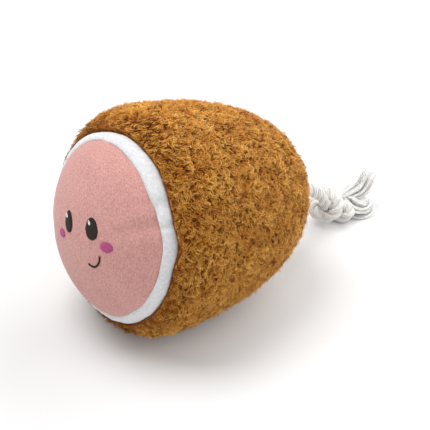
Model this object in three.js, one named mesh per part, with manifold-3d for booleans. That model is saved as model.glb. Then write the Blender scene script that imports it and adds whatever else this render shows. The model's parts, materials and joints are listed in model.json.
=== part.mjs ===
// Plush ham tug toy: a stuffed, fur-covered ham with an embroidered face and a knotted rope tail.
// Millimetres, +Z up. The origin is the middle of the flat underside, the face looks along -Y and
// the rope leaves along +Y.
import * as THREE from 'three';
import { mergeVertices } from 'three/addons/utils/BufferGeometryUtils.js';
import Module from 'manifold-3d';

const wasm = await Module();
wasm.setup();

// Stuffed body, measured on its cloth and from the middle of the face
const CLOTH_LENGTH = 174.5;
const CLOTH_HALF_WIDTH = 65;
const CLOTH_HALF_HEIGHT = 69.5;
const BELLY_AT = 53.4;
const SHANK_RADIUS = 58.8;
const FACE_ROUNDNESS = 2.14;
const TAIL_ROUNDNESS = 2.58;
const PILE = 7;
const PILE_ROUNDING = 16;
const BODY_PITCH = THREE.MathUtils.degToRad(8.7);
const REST_AT = 80;
const FLOOR_CUT = 1.5;

// Cloths and their seams
const FACE_RADIUS = 53.8;
const RING_WIDTH = 8.6;
const FACE_CLOTH = 1.4;
const RING_CLOTH = 1.4;
const FUR_BACKING = 1.2;
const ALLOWANCE = 5;
const SEAM_GAP = 0.3;
const BINDING = 0.6;
const BINDING_DEPTH = 2.6;
const SEAM_ANGLE = THREE.MathUtils.degToRad(45);

// Embroidered face, in its own upright axes, which are rolled on the disc
const FACE_ROLL = THREE.MathUtils.degToRad(-10.7);
const FACE_SHIFT = 4;
const THREAD = 0.8;
const EYE_SPACING = 23.2;
const EYE_RISE = 7.4;
const EYE_WIDTH = 9.2;
const EYE_HEIGHT = 14;
const EYE_BROW = 1.1;
const EYE_JOWL = 1.55;
const GLINT_WIDTH = 2.2;
const GLINT_HEIGHT = 3.2;
const GLINT_ASIDE = -1.4;
const GLINT_RISE = 3.7;
const CHEEK_SPACING = 42.9;
const CHEEK_DROP = 2.3;
const CHEEK_WIDTH = 9.5;
const CHEEK_HEIGHT = 6.5;
const MOUTH_STROKE = 1.6;
const MOUTH_LINE = [[5.5, -16.3], [8, -17.3], [11, -17.1], [13.6, -15], [15.3, -12.2], [15.9, -9.2]];

// Stuffing and squeaker
const STUFFING_GAP = 0.8;
const SQUEAKER_RADIUS = 26;
const SQUEAKER_CUP = 8;
const SQUEAKER_WALL = 1.2;
const BELLOWS_HEIGHT = 16;
const BELLOWS_FOLDS = 3;
const BELLOWS_DEPTH = 3.5;
const BELLOWS_WALL = 1;
const SQUEAKER_APART = 14;
const REED_BORE = 4;
const REED_WALL = 1.6;
const REED_LENGTH = 9;
const REED_FLANGE = 2.5;
const REED_PLATE = 0.5;
const FIT = 0.3;

// Rope, with its anchor inside the body and its free end outside
const ROPE_DIAMETER = 7.4;
const KNOT_GAP = 0.5;
const NECK_DIAMETER = 11;
const EXIT_REACH = 9;
const ROPE_HOLE_SLACK = 0.6;
const ROOT_SHOULDER = 0.6;
const PATCH_REACH = 22;
const PATCH_THICKNESS = 2;
const NECK_ROUTE = [[0, 0, 0], [-0.3, 7, -5.2], [-0.8, 15, -11.3], [-1.4, 24, -16.9], [-1.9, 32, -22.8]];
const KNOT_MIDDLE = [-6, 51.5, -42];
const KNOT_PITCH = THREE.MathUtils.degToRad(-22);
const KNOT_LEAD = [[-1.95, 35.6, -27.2], [-2, 39.2, -32.8]];
// An overhand knot, in spacings of its turns: x along the rope, z across the flat of the knot
const KNOT_TURNS = [
  [-1.2, 0.5, 0], [-0.4, 0.53, 0], [0.5, 0.53, -0.02], [1.15, 0.66, -0.1], [1.62, 1.12, 0.04],
  [1.45, 1.5, 0.42], [1.1, 1.25, 0.88], [0.82, 0.62, 1.09], [0.62, -0.12, 1.07], [0.46, -0.92, 0.96],
  [0.3, -1.47, 0.5], [0.14, -1.56, -0.14], [-0.04, -1.18, -0.78], [-0.22, -0.4, -1.07],
  [-0.38, 0.4, -1.07], [-0.54, 1.2, -0.78], [-0.72, 1.58, -0.1], [-0.94, 1.42, 0.58],
  [-1.2, 0.78, 1.04], [-1.44, 0.02, 1.1], [-1.62, -0.6, 0.72], [-1.42, -0.82, 0.16],
  [-0.8, -0.6, 0], [0, -0.53, 0], [0.9, -0.53, -0.03], [1.6, -0.4, -0.14], [2.2, -0.16, -0.42],
];
const ANCHOR_TAIL = 6;
const ROPE_SIDES = 8;
const NECK_STEPS = 8;
const KNOT_STEPS = 56;
const STRAND_ROOT = 2.1;
const STRAND_RING = 2.7;
const STRAND_FLARE = 6;
const STRAND_LENGTH = 28;
const STRAND_SPLAY = THREE.MathUtils.degToRad(20);
// Its swelling past the root, as shares of the flare and of the length
const STRAND_SWELL = [[0.55, 0.33], [0.86, 0.6], [1, 0.8], [0.8, 0.95], [0, 1]];

// Facets
const BODY_SIDES = 32;
const CUP_SIDES = 20;
const REED_SIDES = 12;
const HOLE_SIDES = 12;
const STRAND_SIDES = 10;
const ROOT_STEPS = 3;
const PILE_EDGE_STEPS = 4;
const MOUTH_STEPS = 14;
const KNOT_SAMPLES = 240;
const OUTLINE_STEP = 14;
const STUFFING_STEP = 26;
const FAR = 400;

const FUR = new THREE.MeshStandardMaterial({ color: 0xb07a28, roughness: 1 });
const PINK = new THREE.MeshStandardMaterial({ color: 0xdda098, roughness: 0.9 });
const WHITE_FLEECE = new THREE.MeshStandardMaterial({ color: 0xf0f0f3, roughness: 0.95 });
const DARK_THREAD = new THREE.MeshStandardMaterial({ color: 0x281414, roughness: 0.5 });
const WHITE_THREAD = new THREE.MeshStandardMaterial({ color: 0xf6f4f2, roughness: 0.5 });
const CHEEK_THREAD = new THREE.MeshStandardMaterial({ color: 0xc85596, roughness: 0.5 });
const BINDING_TAPE = new THREE.MeshStandardMaterial({ color: 0xd8d2c6, roughness: 0.9 });
const POLYESTER = new THREE.MeshStandardMaterial({ color: 0xf2f2ee, roughness: 1 });
const SQUEAKER_PLASTIC = new THREE.MeshStandardMaterial({ color: 0xe9e6dc, roughness: 0.45 });
const COTTON_ROPE = new THREE.MeshStandardMaterial({ color: 0xebe8e2, roughness: 0.95 });

// Half section of the cloth: a full, round face from the nose to the belly, then a tapering side that
// rounds off at the tail. Each half is a superellipse.
class ClothOutline extends THREE.Curve {
  getPoint(t, target = new THREE.Vector2()) {
    const turn = t * Math.PI;
    const front = t < 0.5;
    const power = 2 / (front ? FACE_ROUNDNESS : TAIL_ROUNDNESS);
    const across = Math.max(0, Math.sin(turn)) ** power;
    const along = Math.abs(Math.cos(turn)) ** power;
    if (front) return target.set(CLOTH_HALF_WIDTH * across, BELLY_AT * (1 - along));
    const side = THREE.MathUtils.lerp(CLOTH_HALF_WIDTH, SHANK_RADIUS, along);
    return target.set(side * across, BELLY_AT + (CLOTH_LENGTH - BELLY_AT) * along);
  }
}

const OUTLINE = new ClothOutline();
OUTLINE.arcLengthDivisions = 800;
const OUTLINE_LENGTH = OUTLINE.getLength();
const OVAL = CLOTH_HALF_HEIGHT / CLOTH_HALF_WIDTH;

// Length along the outline from the nose to the edge of the face disc
function faceArcLength() {
  const lengths = OUTLINE.getLengths();
  const across = (FACE_RADIUS / CLOTH_HALF_WIDTH) ** (FACE_ROUNDNESS / 2);
  const share = (Math.asin(across) / Math.PI) * (lengths.length - 1);
  const before = Math.floor(share);
  return THREE.MathUtils.lerp(lengths[before], lengths[before + 1], share - before);
}

const FACE_ARC = faceArcLength();
const RING_ARC = FACE_ARC + RING_WIDTH;
const PILE_START = RING_ARC + SEAM_GAP / 2;
const PATCH_ARC = OUTLINE_LENGTH - PATCH_REACH;
const PANEL_SEAM_START = RING_ARC + 2 * ALLOWANCE;
const PANEL_SEAM_END = PATCH_ARC - 2 * ALLOWANCE;

// A point on the half section, a length along the cloth and a depth under it
function place(arc, depth) {
  const share = THREE.MathUtils.clamp(arc / OUTLINE_LENGTH, 0, 1);
  const point = OUTLINE.getPointAt(share);
  const along = OUTLINE.getTangentAt(share);
  const onAxis = share === 0 || share === 1;
  return new THREE.Vector2(onAxis ? 0 : point.x - depth * along.y, point.y + depth * along.x);
}

function edge(start, end, depth, step = OUTLINE_STEP) {
  const count = Math.max(1, Math.ceil(Math.abs(end - start) / step));
  const points = [];
  for (let i = 0; i <= count; i++) points.push(place(THREE.MathUtils.lerp(start, end, i / count), depth));
  return points;
}

// Tips of the pile: it stands up from the ring's seam in a round edge, then runs level to the tail
function pileTips() {
  const points = [];
  for (let i = 0; i < PILE_EDGE_STEPS; i++) {
    const angle = ((i / PILE_EDGE_STEPS) * Math.PI) / 2;
    points.push(place(PILE_START + PILE_ROUNDING * (1 - Math.cos(angle)), -PILE * Math.sin(angle)));
  }
  return [...points, ...edge(PILE_START + PILE_ROUNDING, OUTLINE_LENGTH, -PILE)];
}

// Solids and booleans

function closed(geometry) {
  for (const name of ['normal', 'uv', 'uv1']) geometry.deleteAttribute(name);
  const merged = mergeVertices(geometry, 1e-4);
  const position = merged.getAttribute('position');
  const index = [];
  let volume = 0;
  const [a, b, c] = [new THREE.Vector3(), new THREE.Vector3(), new THREE.Vector3()];
  for (let i = 0; i < merged.index.count; i += 3) {
    const corner = [0, 1, 2].map((k) => merged.index.getX(i + k));
    if (new Set(corner).size < 3) continue;
    index.push(...corner);
    [a, b, c].forEach((vertex, k) => vertex.fromBufferAttribute(position, corner[k]));
    volume += a.dot(b.cross(c));
  }
  if (volume < 0) index.reverse();
  const result = new THREE.BufferGeometry();
  result.setAttribute('position', position);
  result.setIndex(index);
  return result;
}

function toSolid(geometry) {
  const shape = closed(geometry);
  const vertProperties = new Float32Array(shape.getAttribute('position').array);
  const triVerts = new Uint32Array(shape.index.array);
  return new wasm.Manifold(new wasm.Mesh({ numProp: 3, vertProperties, triVerts }));
}

function toGeometry(solid) {
  const mesh = solid.getMesh();
  const geometry = new THREE.BufferGeometry();
  geometry.setAttribute('position', new THREE.BufferAttribute(mesh.vertProperties, 3));
  geometry.setIndex(new THREE.BufferAttribute(mesh.triVerts, 1));
  return geometry;
}

function turned(profile, sides) {
  return new THREE.LatheGeometry(profile, sides);
}

function ring(profile, sides) {
  return turned([...profile, profile[0]], sides);
}

function oval(geometry) {
  return geometry.scale(1, 1, OVAL);
}

function drum(radius, start, end, sides) {
  return new THREE.CylinderGeometry(radius, radius, end - start, sides).translate(0, (start + end) / 2, 0);
}

// A prism along the body: its section is drawn as seen from the face, x to the right and z up
function prism(section, start, end) {
  const geometry = new THREE.ExtrudeGeometry(section, { depth: end - start, bevelEnabled: false });
  return geometry.rotateX(Math.PI / 2).translate(0, end, 0);
}

function addMesh(group, name, geometry, material) {
  const mesh = new THREE.Mesh(closed(geometry), material);
  mesh.name = name;
  group.add(mesh);
}

// The body lies on its side with the tail lower than the face, and its lowest fur is pressed flat.

function lowestFur() {
  const heights = pileTips().map(
    (point) => -(point.y - REST_AT) * Math.sin(BODY_PITCH) - OVAL * point.x * Math.cos(BODY_PITCH),
  );
  return Math.min(...heights);
}

const toy = new THREE.Group();
const body = new THREE.Group();
body.rotation.x = -BODY_PITCH;
const axisHeight = -lowestFur() - FLOOR_CUT;
body.position.set(0, -REST_AT * Math.cos(BODY_PITCH), axisHeight + REST_AT * Math.sin(BODY_PITCH));
body.updateMatrix();
toy.add(body);
const intoBody = body.matrix.clone().invert();

// Face disc and the ring round it, each with its edge turned in at the seam

function facePanel() {
  const rim = FACE_ARC - SEAM_GAP / 2;
  const fold = rim - FACE_CLOTH;
  const hem = [place(rim, ALLOWANCE), place(fold, ALLOWANCE)];
  return oval(turned([...edge(0, rim, 0), ...hem, ...edge(fold, 0, FACE_CLOTH)], BODY_SIDES));
}

function fatRing() {
  const front = FACE_ARC + SEAM_GAP / 2;
  const back = RING_ARC - SEAM_GAP / 2;
  const backHem = [place(back, ALLOWANCE), place(back - RING_CLOTH, ALLOWANCE)];
  const frontHem = [place(front + RING_CLOTH, ALLOWANCE), place(front, ALLOWANCE)];
  const inside = edge(back - RING_CLOTH, front + RING_CLOTH, RING_CLOTH);
  return oval(ring([...edge(front, back, 0), ...backHem, ...inside, ...frontHem], BODY_SIDES));
}

// A folded tape round the two turned-in edges of a seam, as [across the seam, depth]
function bindingSection(clothBefore, clothAfter) {
  const before = -SEAM_GAP * 1.5 - clothBefore;
  const after = SEAM_GAP * 1.5 + clothAfter;
  const mouth = ALLOWANCE - BINDING_DEPTH;
  const inside = ALLOWANCE + SEAM_GAP;
  const outside = inside + BINDING;
  return [
    [before - BINDING, mouth], [before - BINDING, outside], [after + BINDING, outside],
    [after + BINDING, mouth], [after, mouth], [after, inside], [before, inside], [before, mouth],
  ];
}

function roundSeam(arc, clothBefore, clothAfter) {
  const section = bindingSection(clothBefore, clothAfter);
  return oval(ring(section.map(([across, depth]) => place(arc + across, depth)), BODY_SIDES));
}

addMesh(body, 'face_panel', facePanel(), PINK);
addMesh(body, 'fat_ring', fatRing(), WHITE_FLEECE);
addMesh(body, 'face_seam', roundSeam(FACE_ARC, FACE_CLOTH, RING_CLOTH), BINDING_TAPE);
addMesh(body, 'ring_seam', roundSeam(RING_ARC, RING_CLOTH, FUR_BACKING), BINDING_TAPE);

// Fur cover: four panels, sewn along the body, with a hole for the rope at the tail

// A band in the plane of a panel seam, between two depths, straddling or beside that plane
function seamBand(angle, depths, sides, overrun = 0) {
  const [shallow, deep] = depths;
  const [left, right] = sides;
  const start = PANEL_SEAM_START - overrun;
  const end = PANEL_SEAM_END + overrun;
  const outer = edge(start, end, shallow);
  const inner = edge(end, start, deep);
  const outline = new THREE.Shape([...outer, ...inner]);
  const band = new THREE.ExtrudeGeometry(outline, { depth: right - left, bevelEnabled: false });
  return toSolid(band.translate(0, 0, left).rotateY(angle - Math.PI / 2));
}

function furShell() {
  const fold = PILE_START + FUR_BACKING;
  const hem = [place(fold, ALLOWANCE), place(PILE_START, ALLOWANCE)];
  const outside = pileTips();
  const inside = [...edge(OUTLINE_LENGTH, PATCH_ARC, FUR_BACKING), ...edge(PATCH_ARC, fold, FUR_BACKING)];
  return toSolid(turned([...outside, ...inside, ...hem, outside[0]].reverse(), BODY_SIDES));
}

function ropeHole() {
  return toSolid(drum(ROPE_DIAMETER / 2 + ROPE_HOLE_SLACK, 0, FAR, HOLE_SIDES));
}

function furPanel(shell, middle) {
  const wedge = new THREE.Shape([
    new THREE.Vector2(0, SEAM_GAP / 2 / Math.sin(SEAM_ANGLE)),
    new THREE.Vector2(FAR * Math.tan(SEAM_ANGLE), FAR),
    new THREE.Vector2(-FAR * Math.tan(SEAM_ANGLE), FAR),
  ]);
  const sector = toSolid(prism(wedge, -FAR, FAR).rotateY(middle));
  const depths = [FUR_BACKING / 2, ALLOWANCE];
  const near = SEAM_GAP / 2;
  const far = near + FUR_BACKING;
  const panel = shell
    .intersect(sector)
    .add(seamBand(middle - SEAM_ANGLE, depths, [-far, -near]))
    .add(seamBand(middle + SEAM_ANGLE, depths, [near, far]));
  const floor = new THREE.BoxGeometry(FAR, FAR, FAR).translate(0, 0, -FAR / 2).applyMatrix4(intoBody);
  return toGeometry(toSolid(oval(toGeometry(panel))).subtract(ropeHole()).subtract(toSolid(floor)));
}

function panelSeam(angle) {
  const slotHalf = SEAM_GAP * 1.5 + FUR_BACKING;
  const slotDepth = ALLOWANCE + SEAM_GAP;
  const tapeHalf = slotHalf + BINDING;
  const mouth = ALLOWANCE - BINDING_DEPTH;
  const tape = seamBand(angle, [mouth, slotDepth + BINDING], [-tapeHalf, tapeHalf]);
  const slot = seamBand(angle, [mouth - BINDING, slotDepth], [-slotHalf, slotHalf], BINDING);
  return oval(toGeometry(tape.subtract(slot)));
}

const shell = furShell();
const panels = ['top', 'right', 'bottom', 'left'];
panels.forEach((side, i) => {
  addMesh(body, `fur_panel_${side}`, furPanel(shell, (i * Math.PI) / 2), FUR);
});
['upper_right', 'lower_right', 'lower_left', 'upper_left'].forEach((side, i) => {
  addMesh(body, `panel_seam_${side}`, panelSeam(SEAM_ANGLE + (i * Math.PI) / 2), BINDING_TAPE);
});

// Embroidery: satin stitch that follows the dome of the face

const stitchLayer = toSolid(
  oval(turned([...edge(0, FACE_ARC, -SEAM_GAP - THREAD), ...edge(FACE_ARC, 0, -SEAM_GAP)], BODY_SIDES)),
);

function ellipse(width, height) {
  return new THREE.Shape().absellipse(0, 0, width / 2, height / 2, 0, 2 * Math.PI);
}

// An eye is an oval, a little narrower at the top
function eyeOutline() {
  const [w, h] = [EYE_WIDTH / 2, EYE_HEIGHT / 2];
  const outline = new THREE.Shape();
  outline.moveTo(0, h);
  outline.bezierCurveTo(EYE_BROW * w, h, EYE_JOWL * w, -h, 0, -h);
  outline.bezierCurveTo(-EYE_JOWL * w, -h, -EYE_BROW * w, h, 0, h);
  return outline;
}

function mouthOutline() {
  const line = new THREE.SplineCurve(MOUTH_LINE.map(([x, z]) => new THREE.Vector2(x, z)));
  const half = MOUTH_STROKE / 2;
  const sides = [[], []];
  for (let i = 0; i <= MOUTH_STEPS; i++) {
    const point = line.getPointAt(i / MOUTH_STEPS);
    const along = line.getTangentAt(i / MOUTH_STEPS);
    sides[0].push(new THREE.Vector2(point.x - along.y * half, point.y + along.x * half));
    sides[1].unshift(new THREE.Vector2(point.x + along.y * half, point.y - along.x * half));
  }
  const start = line.getPointAt(0).addScaledVector(line.getTangentAt(0), -half);
  const end = line.getPointAt(1).addScaledVector(line.getTangentAt(1), half);
  return new THREE.Shape([start, ...sides[0], end, ...sides[1]]);
}

// An outline at a place on the upright face, as a column through the face
function column(outline, aside, rise) {
  const shape = prism(outline, -FAR, BELLY_AT).translate(aside + FACE_SHIFT, 0, rise);
  return toSolid(shape.rotateY(FACE_ROLL));
}

function stitches(outline, aside, rise) {
  return column(outline, aside, rise).intersect(stitchLayer);
}

[['left', -1], ['right', 1]].forEach(([side, sign]) => {
  const eyeAside = (sign * EYE_SPACING) / 2;
  const glintPlace = [eyeAside + GLINT_ASIDE, EYE_RISE + GLINT_RISE];
  const glintGap = ellipse(GLINT_WIDTH + 2 * FIT, GLINT_HEIGHT + 2 * FIT);
  const eye = stitches(eyeOutline(), eyeAside, EYE_RISE).subtract(column(glintGap, ...glintPlace));
  const glint = stitches(ellipse(GLINT_WIDTH, GLINT_HEIGHT), ...glintPlace);
  const cheek = stitches(ellipse(CHEEK_WIDTH, CHEEK_HEIGHT), (sign * CHEEK_SPACING) / 2, -CHEEK_DROP);
  addMesh(body, `eye_${side}`, toGeometry(eye), DARK_THREAD);
  addMesh(body, `glint_${side}`, toGeometry(glint), WHITE_THREAD);
  addMesh(body, `cheek_${side}`, toGeometry(cheek), CHEEK_THREAD);
});
addMesh(body, 'mouth', toGeometry(stitches(mouthOutline(), 0, 0)), DARK_THREAD);

// Rope anchor: a stopper knot behind a patch, with its rope out through the tail

const tail = CLOTH_LENGTH + PILE;
const exit = tail + EXIT_REACH;

function ropeTube(points, diameter, steps) {
  const corners = [];
  for (let i = 0; i < ROPE_SIDES; i++) {
    const angle = (2 * Math.PI * i) / ROPE_SIDES;
    corners.push(new THREE.Vector2(Math.cos(angle), Math.sin(angle)).multiplyScalar(diameter / 2));
  }
  const extrudePath = new THREE.CatmullRomCurve3(points, false, 'centripetal');
  const section = new THREE.Shape(corners);
  return new THREE.ExtrudeGeometry(section, { extrudePath, steps, bevelEnabled: false });
}

// Least gap between turns of a rope, which are stretches at least half a turn apart along it
function leastGap(points, diameter) {
  const line = new THREE.CatmullRomCurve3(points, false, 'centripetal');
  const spaced = line.getSpacedPoints(KNOT_SAMPLES);
  const halfTurn = (Math.PI / 2) * diameter;
  const apart = Math.ceil((KNOT_SAMPLES * halfTurn) / line.getLength());
  let least = Infinity;
  for (let i = 0; i + apart <= KNOT_SAMPLES; i++) {
    for (const other of spaced.slice(i + apart)) least = Math.min(least, spaced[i].distanceTo(other));
  }
  return least - diameter;
}

const turnSpacing = ROPE_DIAMETER + KNOT_GAP;
const knotTurns = KNOT_TURNS.map((turn) => new THREE.Vector3(...turn).multiplyScalar(turnSpacing));
const patchInside = FUR_BACKING + FIT + PATCH_THICKNESS;
const knotReach = Math.max(...knotTurns.map((turn) => Math.abs(turn.x))) + ROPE_DIAMETER / 2;
const knotHalfWidth = Math.max(...knotTurns.map((turn) => Math.abs(turn.y))) + ROPE_DIAMETER / 2;
const patchEdge = place(PATCH_ARC, patchInside);
const anchorKnotAt = patchEdge.y - FIT - knotReach;
const anchorEnd = anchorKnotAt - knotReach - ROPE_DIAMETER - ANCHOR_TAIL;

function anchorPatch() {
  const outside = edge(PATCH_ARC, OUTLINE_LENGTH, FUR_BACKING + FIT);
  const inside = edge(OUTLINE_LENGTH, PATCH_ARC, patchInside);
  const disc = toSolid(oval(turned([...outside, ...inside, outside[0]].reverse(), BODY_SIDES)));
  return toGeometry(disc.subtract(ropeHole()));
}

function ropeAnchor() {
  const end = exit - NECK_DIAMETER / 2 - FIT;
  const knot = knotTurns.map((turn) => new THREE.Vector3(turn.y, anchorKnotAt - turn.x, turn.z));
  const straight = [end, (end + tail) / 2, tail - ROPE_DIAMETER, patchEdge.y].map(
    (along) => new THREE.Vector3(0, along, 0),
  );
  const last = knot.at(-1).clone().add(new THREE.Vector3(0, -ANCHOR_TAIL, 0));
  return ropeTube([...straight, ...knot, last], ROPE_DIAMETER, KNOT_STEPS);
}

addMesh(body, 'anchor_patch', anchorPatch(), BINDING_TAPE);
addMesh(body, 'rope_anchor', ropeAnchor(), COTTON_ROPE);

// Squeaker: two cups with a folded bellows between them and a reed in the lower cup. It stands upright.

const squeaker = new THREE.Group();
squeaker.position.set(0, anchorEnd - SQUEAKER_APART - SQUEAKER_RADIUS, 0).applyMatrix4(body.matrix);
squeaker.rotation.x = Math.PI / 2;
squeaker.updateMatrix();
toy.add(squeaker);

const halfBellows = BELLOWS_HEIGHT / 2;
const squeakerHalfHeight = halfBellows + FIT + SQUEAKER_CUP;
const holderRadius = REED_BORE + REED_WALL;
const cupFloor = squeakerHalfHeight - SQUEAKER_WALL;

function cupProfile(hole) {
  const inner = SQUEAKER_RADIUS - SQUEAKER_WALL;
  const corner = SQUEAKER_CUP / 2;
  const lip = halfBellows + FIT;
  return [
    [hole, squeakerHalfHeight], [SQUEAKER_RADIUS - corner, squeakerHalfHeight],
    [SQUEAKER_RADIUS, squeakerHalfHeight - corner], [SQUEAKER_RADIUS, lip], [inner, lip],
    [inner, squeakerHalfHeight - corner], [SQUEAKER_RADIUS - corner, cupFloor], [hole, cupFloor],
  ].map(([radius, height]) => new THREE.Vector2(radius, height));
}

function bellows() {
  const wall = [];
  const count = 2 * BELLOWS_FOLDS;
  for (let i = 0; i <= count; i++) {
    const fold = i % 2 ? BELLOWS_DEPTH : 0;
    wall.push([SQUEAKER_RADIUS - fold, -halfBellows + (BELLOWS_HEIGHT * i) / count]);
  }
  const outside = wall.map(([radius, height]) => new THREE.Vector2(radius, height));
  const inside = wall.reverse().map(([radius, height]) => new THREE.Vector2(radius - BELLOWS_WALL, height));
  return ring([...outside, ...inside], CUP_SIDES);
}

// The holder stands in the base's hole, with its flange on the inside of the cup
function reedHolder() {
  const flange = holderRadius + REED_FLANGE;
  const flangeTop = cupFloor - FIT - REED_FLANGE / 2;
  const top = squeakerHalfHeight - REED_LENGTH;
  const profile = [
    [REED_BORE, squeakerHalfHeight], [holderRadius, squeakerHalfHeight], [holderRadius, cupFloor - FIT],
    [flange, cupFloor - FIT], [flange, flangeTop], [holderRadius, flangeTop], [holderRadius, top],
    [REED_BORE, top],
  ];
  return ring(profile.map(([radius, depth]) => new THREE.Vector2(radius, -depth)), REED_SIDES);
}

function reed() {
  const top = -squeakerHalfHeight + REED_LENGTH + FIT;
  const plate = new THREE.BoxGeometry(2 * holderRadius - REED_WALL, REED_PLATE, 2 * REED_BORE - REED_WALL);
  return plate.translate(0, top + REED_PLATE / 2, 0);
}

const baseCup = ring(cupProfile(holderRadius + FIT), CUP_SIDES).rotateX(Math.PI);
addMesh(squeaker, 'squeaker_base', baseCup, SQUEAKER_PLASTIC);
addMesh(squeaker, 'squeaker_bellows', bellows(), SQUEAKER_PLASTIC);
addMesh(squeaker, 'squeaker_top', turned(cupProfile(0), CUP_SIDES), SQUEAKER_PLASTIC);
addMesh(squeaker, 'squeaker_reed_holder', reedHolder(), SQUEAKER_PLASTIC);
addMesh(squeaker, 'squeaker_reed', reed(), SQUEAKER_PLASTIC);

// Stuffing: an upper and a lower pad, hollowed for the seams, the squeaker and the rope anchor

function stuffing() {
  const depth = Math.max(FACE_CLOTH, RING_CLOTH, FUR_BACKING) + STUFFING_GAP;
  const grooveWidth = SEAM_GAP * 2.5 + Math.max(FACE_CLOTH, RING_CLOTH, FUR_BACKING) + BINDING;
  const grooveDepth = ALLOWANCE + 2 * SEAM_GAP + BINDING;
  const grooveStart = FACE_ARC - grooveWidth;
  const grooveEnd = RING_ARC + grooveWidth;
  const outline = [
    ...edge(0, grooveStart, depth, STUFFING_STEP),
    ...edge(grooveStart, grooveEnd, grooveDepth, STUFFING_STEP),
    ...edge(grooveEnd, OUTLINE_LENGTH, depth, STUFFING_STEP),
  ];
  let pad = toSolid(turned(outline, BODY_SIDES));
  for (let i = 0; i < panels.length; i++) {
    const angle = SEAM_ANGLE + (i * Math.PI) / 2;
    pad = pad.subtract(seamBand(angle, [0, grooveDepth], [-grooveWidth, grooveWidth], STUFFING_GAP));
  }
  const anchorRoom = knotHalfWidth + FIT;
  const patchRim = place(PATCH_ARC, FUR_BACKING + FIT).x * Math.max(1, OVAL);
  const patchRoom = patchRim + STUFFING_GAP;
  const room = toSolid(drum(anchorRoom, anchorEnd, patchEdge.y, CUP_SIDES)).add(
    toSolid(drum(patchRoom, patchEdge.y - STUFFING_GAP, FAR, CUP_SIDES)),
  );
  const pocket = drum(SQUEAKER_RADIUS + FIT, -squeakerHalfHeight - FIT, squeakerHalfHeight + FIT, CUP_SIDES);
  pocket.applyMatrix4(squeaker.matrix).applyMatrix4(intoBody);
  return toSolid(oval(toGeometry(pad))).subtract(room).subtract(toSolid(pocket));
}

const pads = stuffing();
[['upper', 1], ['lower', -1]].forEach(([name, sign]) => {
  const half = new THREE.BoxGeometry(FAR, 2 * FAR, FAR).translate(0, 0, (sign * (FAR + SEAM_GAP)) / 2);
  addMesh(body, `stuffing_${name}`, toGeometry(pads.intersect(toSolid(half))), POLYESTER);
});

// Free rope: the neck hangs from the tail, the knot lies on the floor and three strands fray from it

const rope = new THREE.Group();
rope.position.set(0, exit, 0).applyMatrix4(body.matrix);
toy.add(rope);

// A stretch of rope whose first end is rounded off, a shoulder in from the rope's side
function roundRooted(points, diameter, steps) {
  const root = new THREE.SphereGeometry(diameter / 2 - ROOT_SHOULDER, ROPE_SIDES, ROPE_SIDES);
  const tube = toSolid(ropeTube(points, diameter, steps));
  return toGeometry(tube.add(toSolid(root.translate(...points[0]))));
}

const neckRoute = NECK_ROUTE.map((point) => new THREE.Vector3(...point));
const knotStart = neckRoute.at(-1);
const neckLine = new THREE.CatmullRomCurve3(neckRoute, false, 'centripetal');
const neckEnd = 1 - (ROPE_DIAMETER / 2 + FIT) / neckLine.getLength();
const neckStretch = [0, 0.25, 0.5, 0.75, 1].map((share) => neckLine.getPointAt(share * neckEnd));
addMesh(rope, 'rope_neck', roundRooted(neckStretch, NECK_DIAMETER, NECK_STEPS), COTTON_ROPE);

const knotPlace = new THREE.Matrix4().makeRotationX(KNOT_PITCH).setPosition(...KNOT_MIDDLE);
const knotRoute = [
  knotStart, ...KNOT_LEAD.map((point) => new THREE.Vector3(...point)),
  ...knotTurns.map((turn) => new THREE.Vector3(turn.y, turn.x, -turn.z).applyMatrix4(knotPlace)),
];
addMesh(rope, 'rope_knot', roundRooted(knotRoute, ROPE_DIAMETER, KNOT_STEPS), COTTON_ROPE);
console.log('least gap in the knot', leastGap(knotRoute, ROPE_DIAMETER).toFixed(2), 'mm');

// A frayed strand: a round root, opening to a brush of yarn with a blunt end
function strand() {
  const profile = [[0, -STRAND_ROOT]];
  for (let i = 1; i < ROOT_STEPS; i++) {
    const angle = (i * Math.PI) / (2 * ROOT_STEPS);
    profile.push([STRAND_ROOT * Math.sin(angle), -STRAND_ROOT * Math.cos(angle)]);
  }
  profile.push([STRAND_ROOT, 0]);
  STRAND_SWELL.forEach(([flare, share]) => profile.push([STRAND_FLARE * flare, STRAND_LENGTH * share]));
  return turned(profile.map(([radius, along]) => new THREE.Vector2(radius, along)), STRAND_SIDES);
}

const tassel = new THREE.Group();
const ropeEnd = knotRoute.at(-1);
const endLine = new THREE.CatmullRomCurve3(knotRoute, false, 'centripetal').getTangentAt(1);
tassel.position.copy(ropeEnd).addScaledVector(endLine, STRAND_ROOT + FIT);
tassel.quaternion.setFromUnitVectors(new THREE.Vector3(0, 1, 0), endLine);
rope.add(tassel);
['top', 'right', 'left'].forEach((side, i) => {
  const arm = new THREE.Group();
  arm.rotation.y = (i * 2 * Math.PI) / 3;
  const root = new THREE.Group();
  root.position.z = STRAND_RING;
  root.rotation.x = STRAND_SPLAY;
  arm.add(root);
  tassel.add(arm);
  addMesh(root, `tassel_${side}`, strand(), COTTON_ROPE);
});

export default toy;
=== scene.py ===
# Plush ham tug toy: a stuffed ham in curly brown fur, with an embroidered pink face in a white fleece
# ring, and a knotted cotton rope for a tail. Metres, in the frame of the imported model.
import json
import math

import bmesh
import bpy
import numpy as np
from mathutils import Matrix, Vector, kdtree, noise

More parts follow.
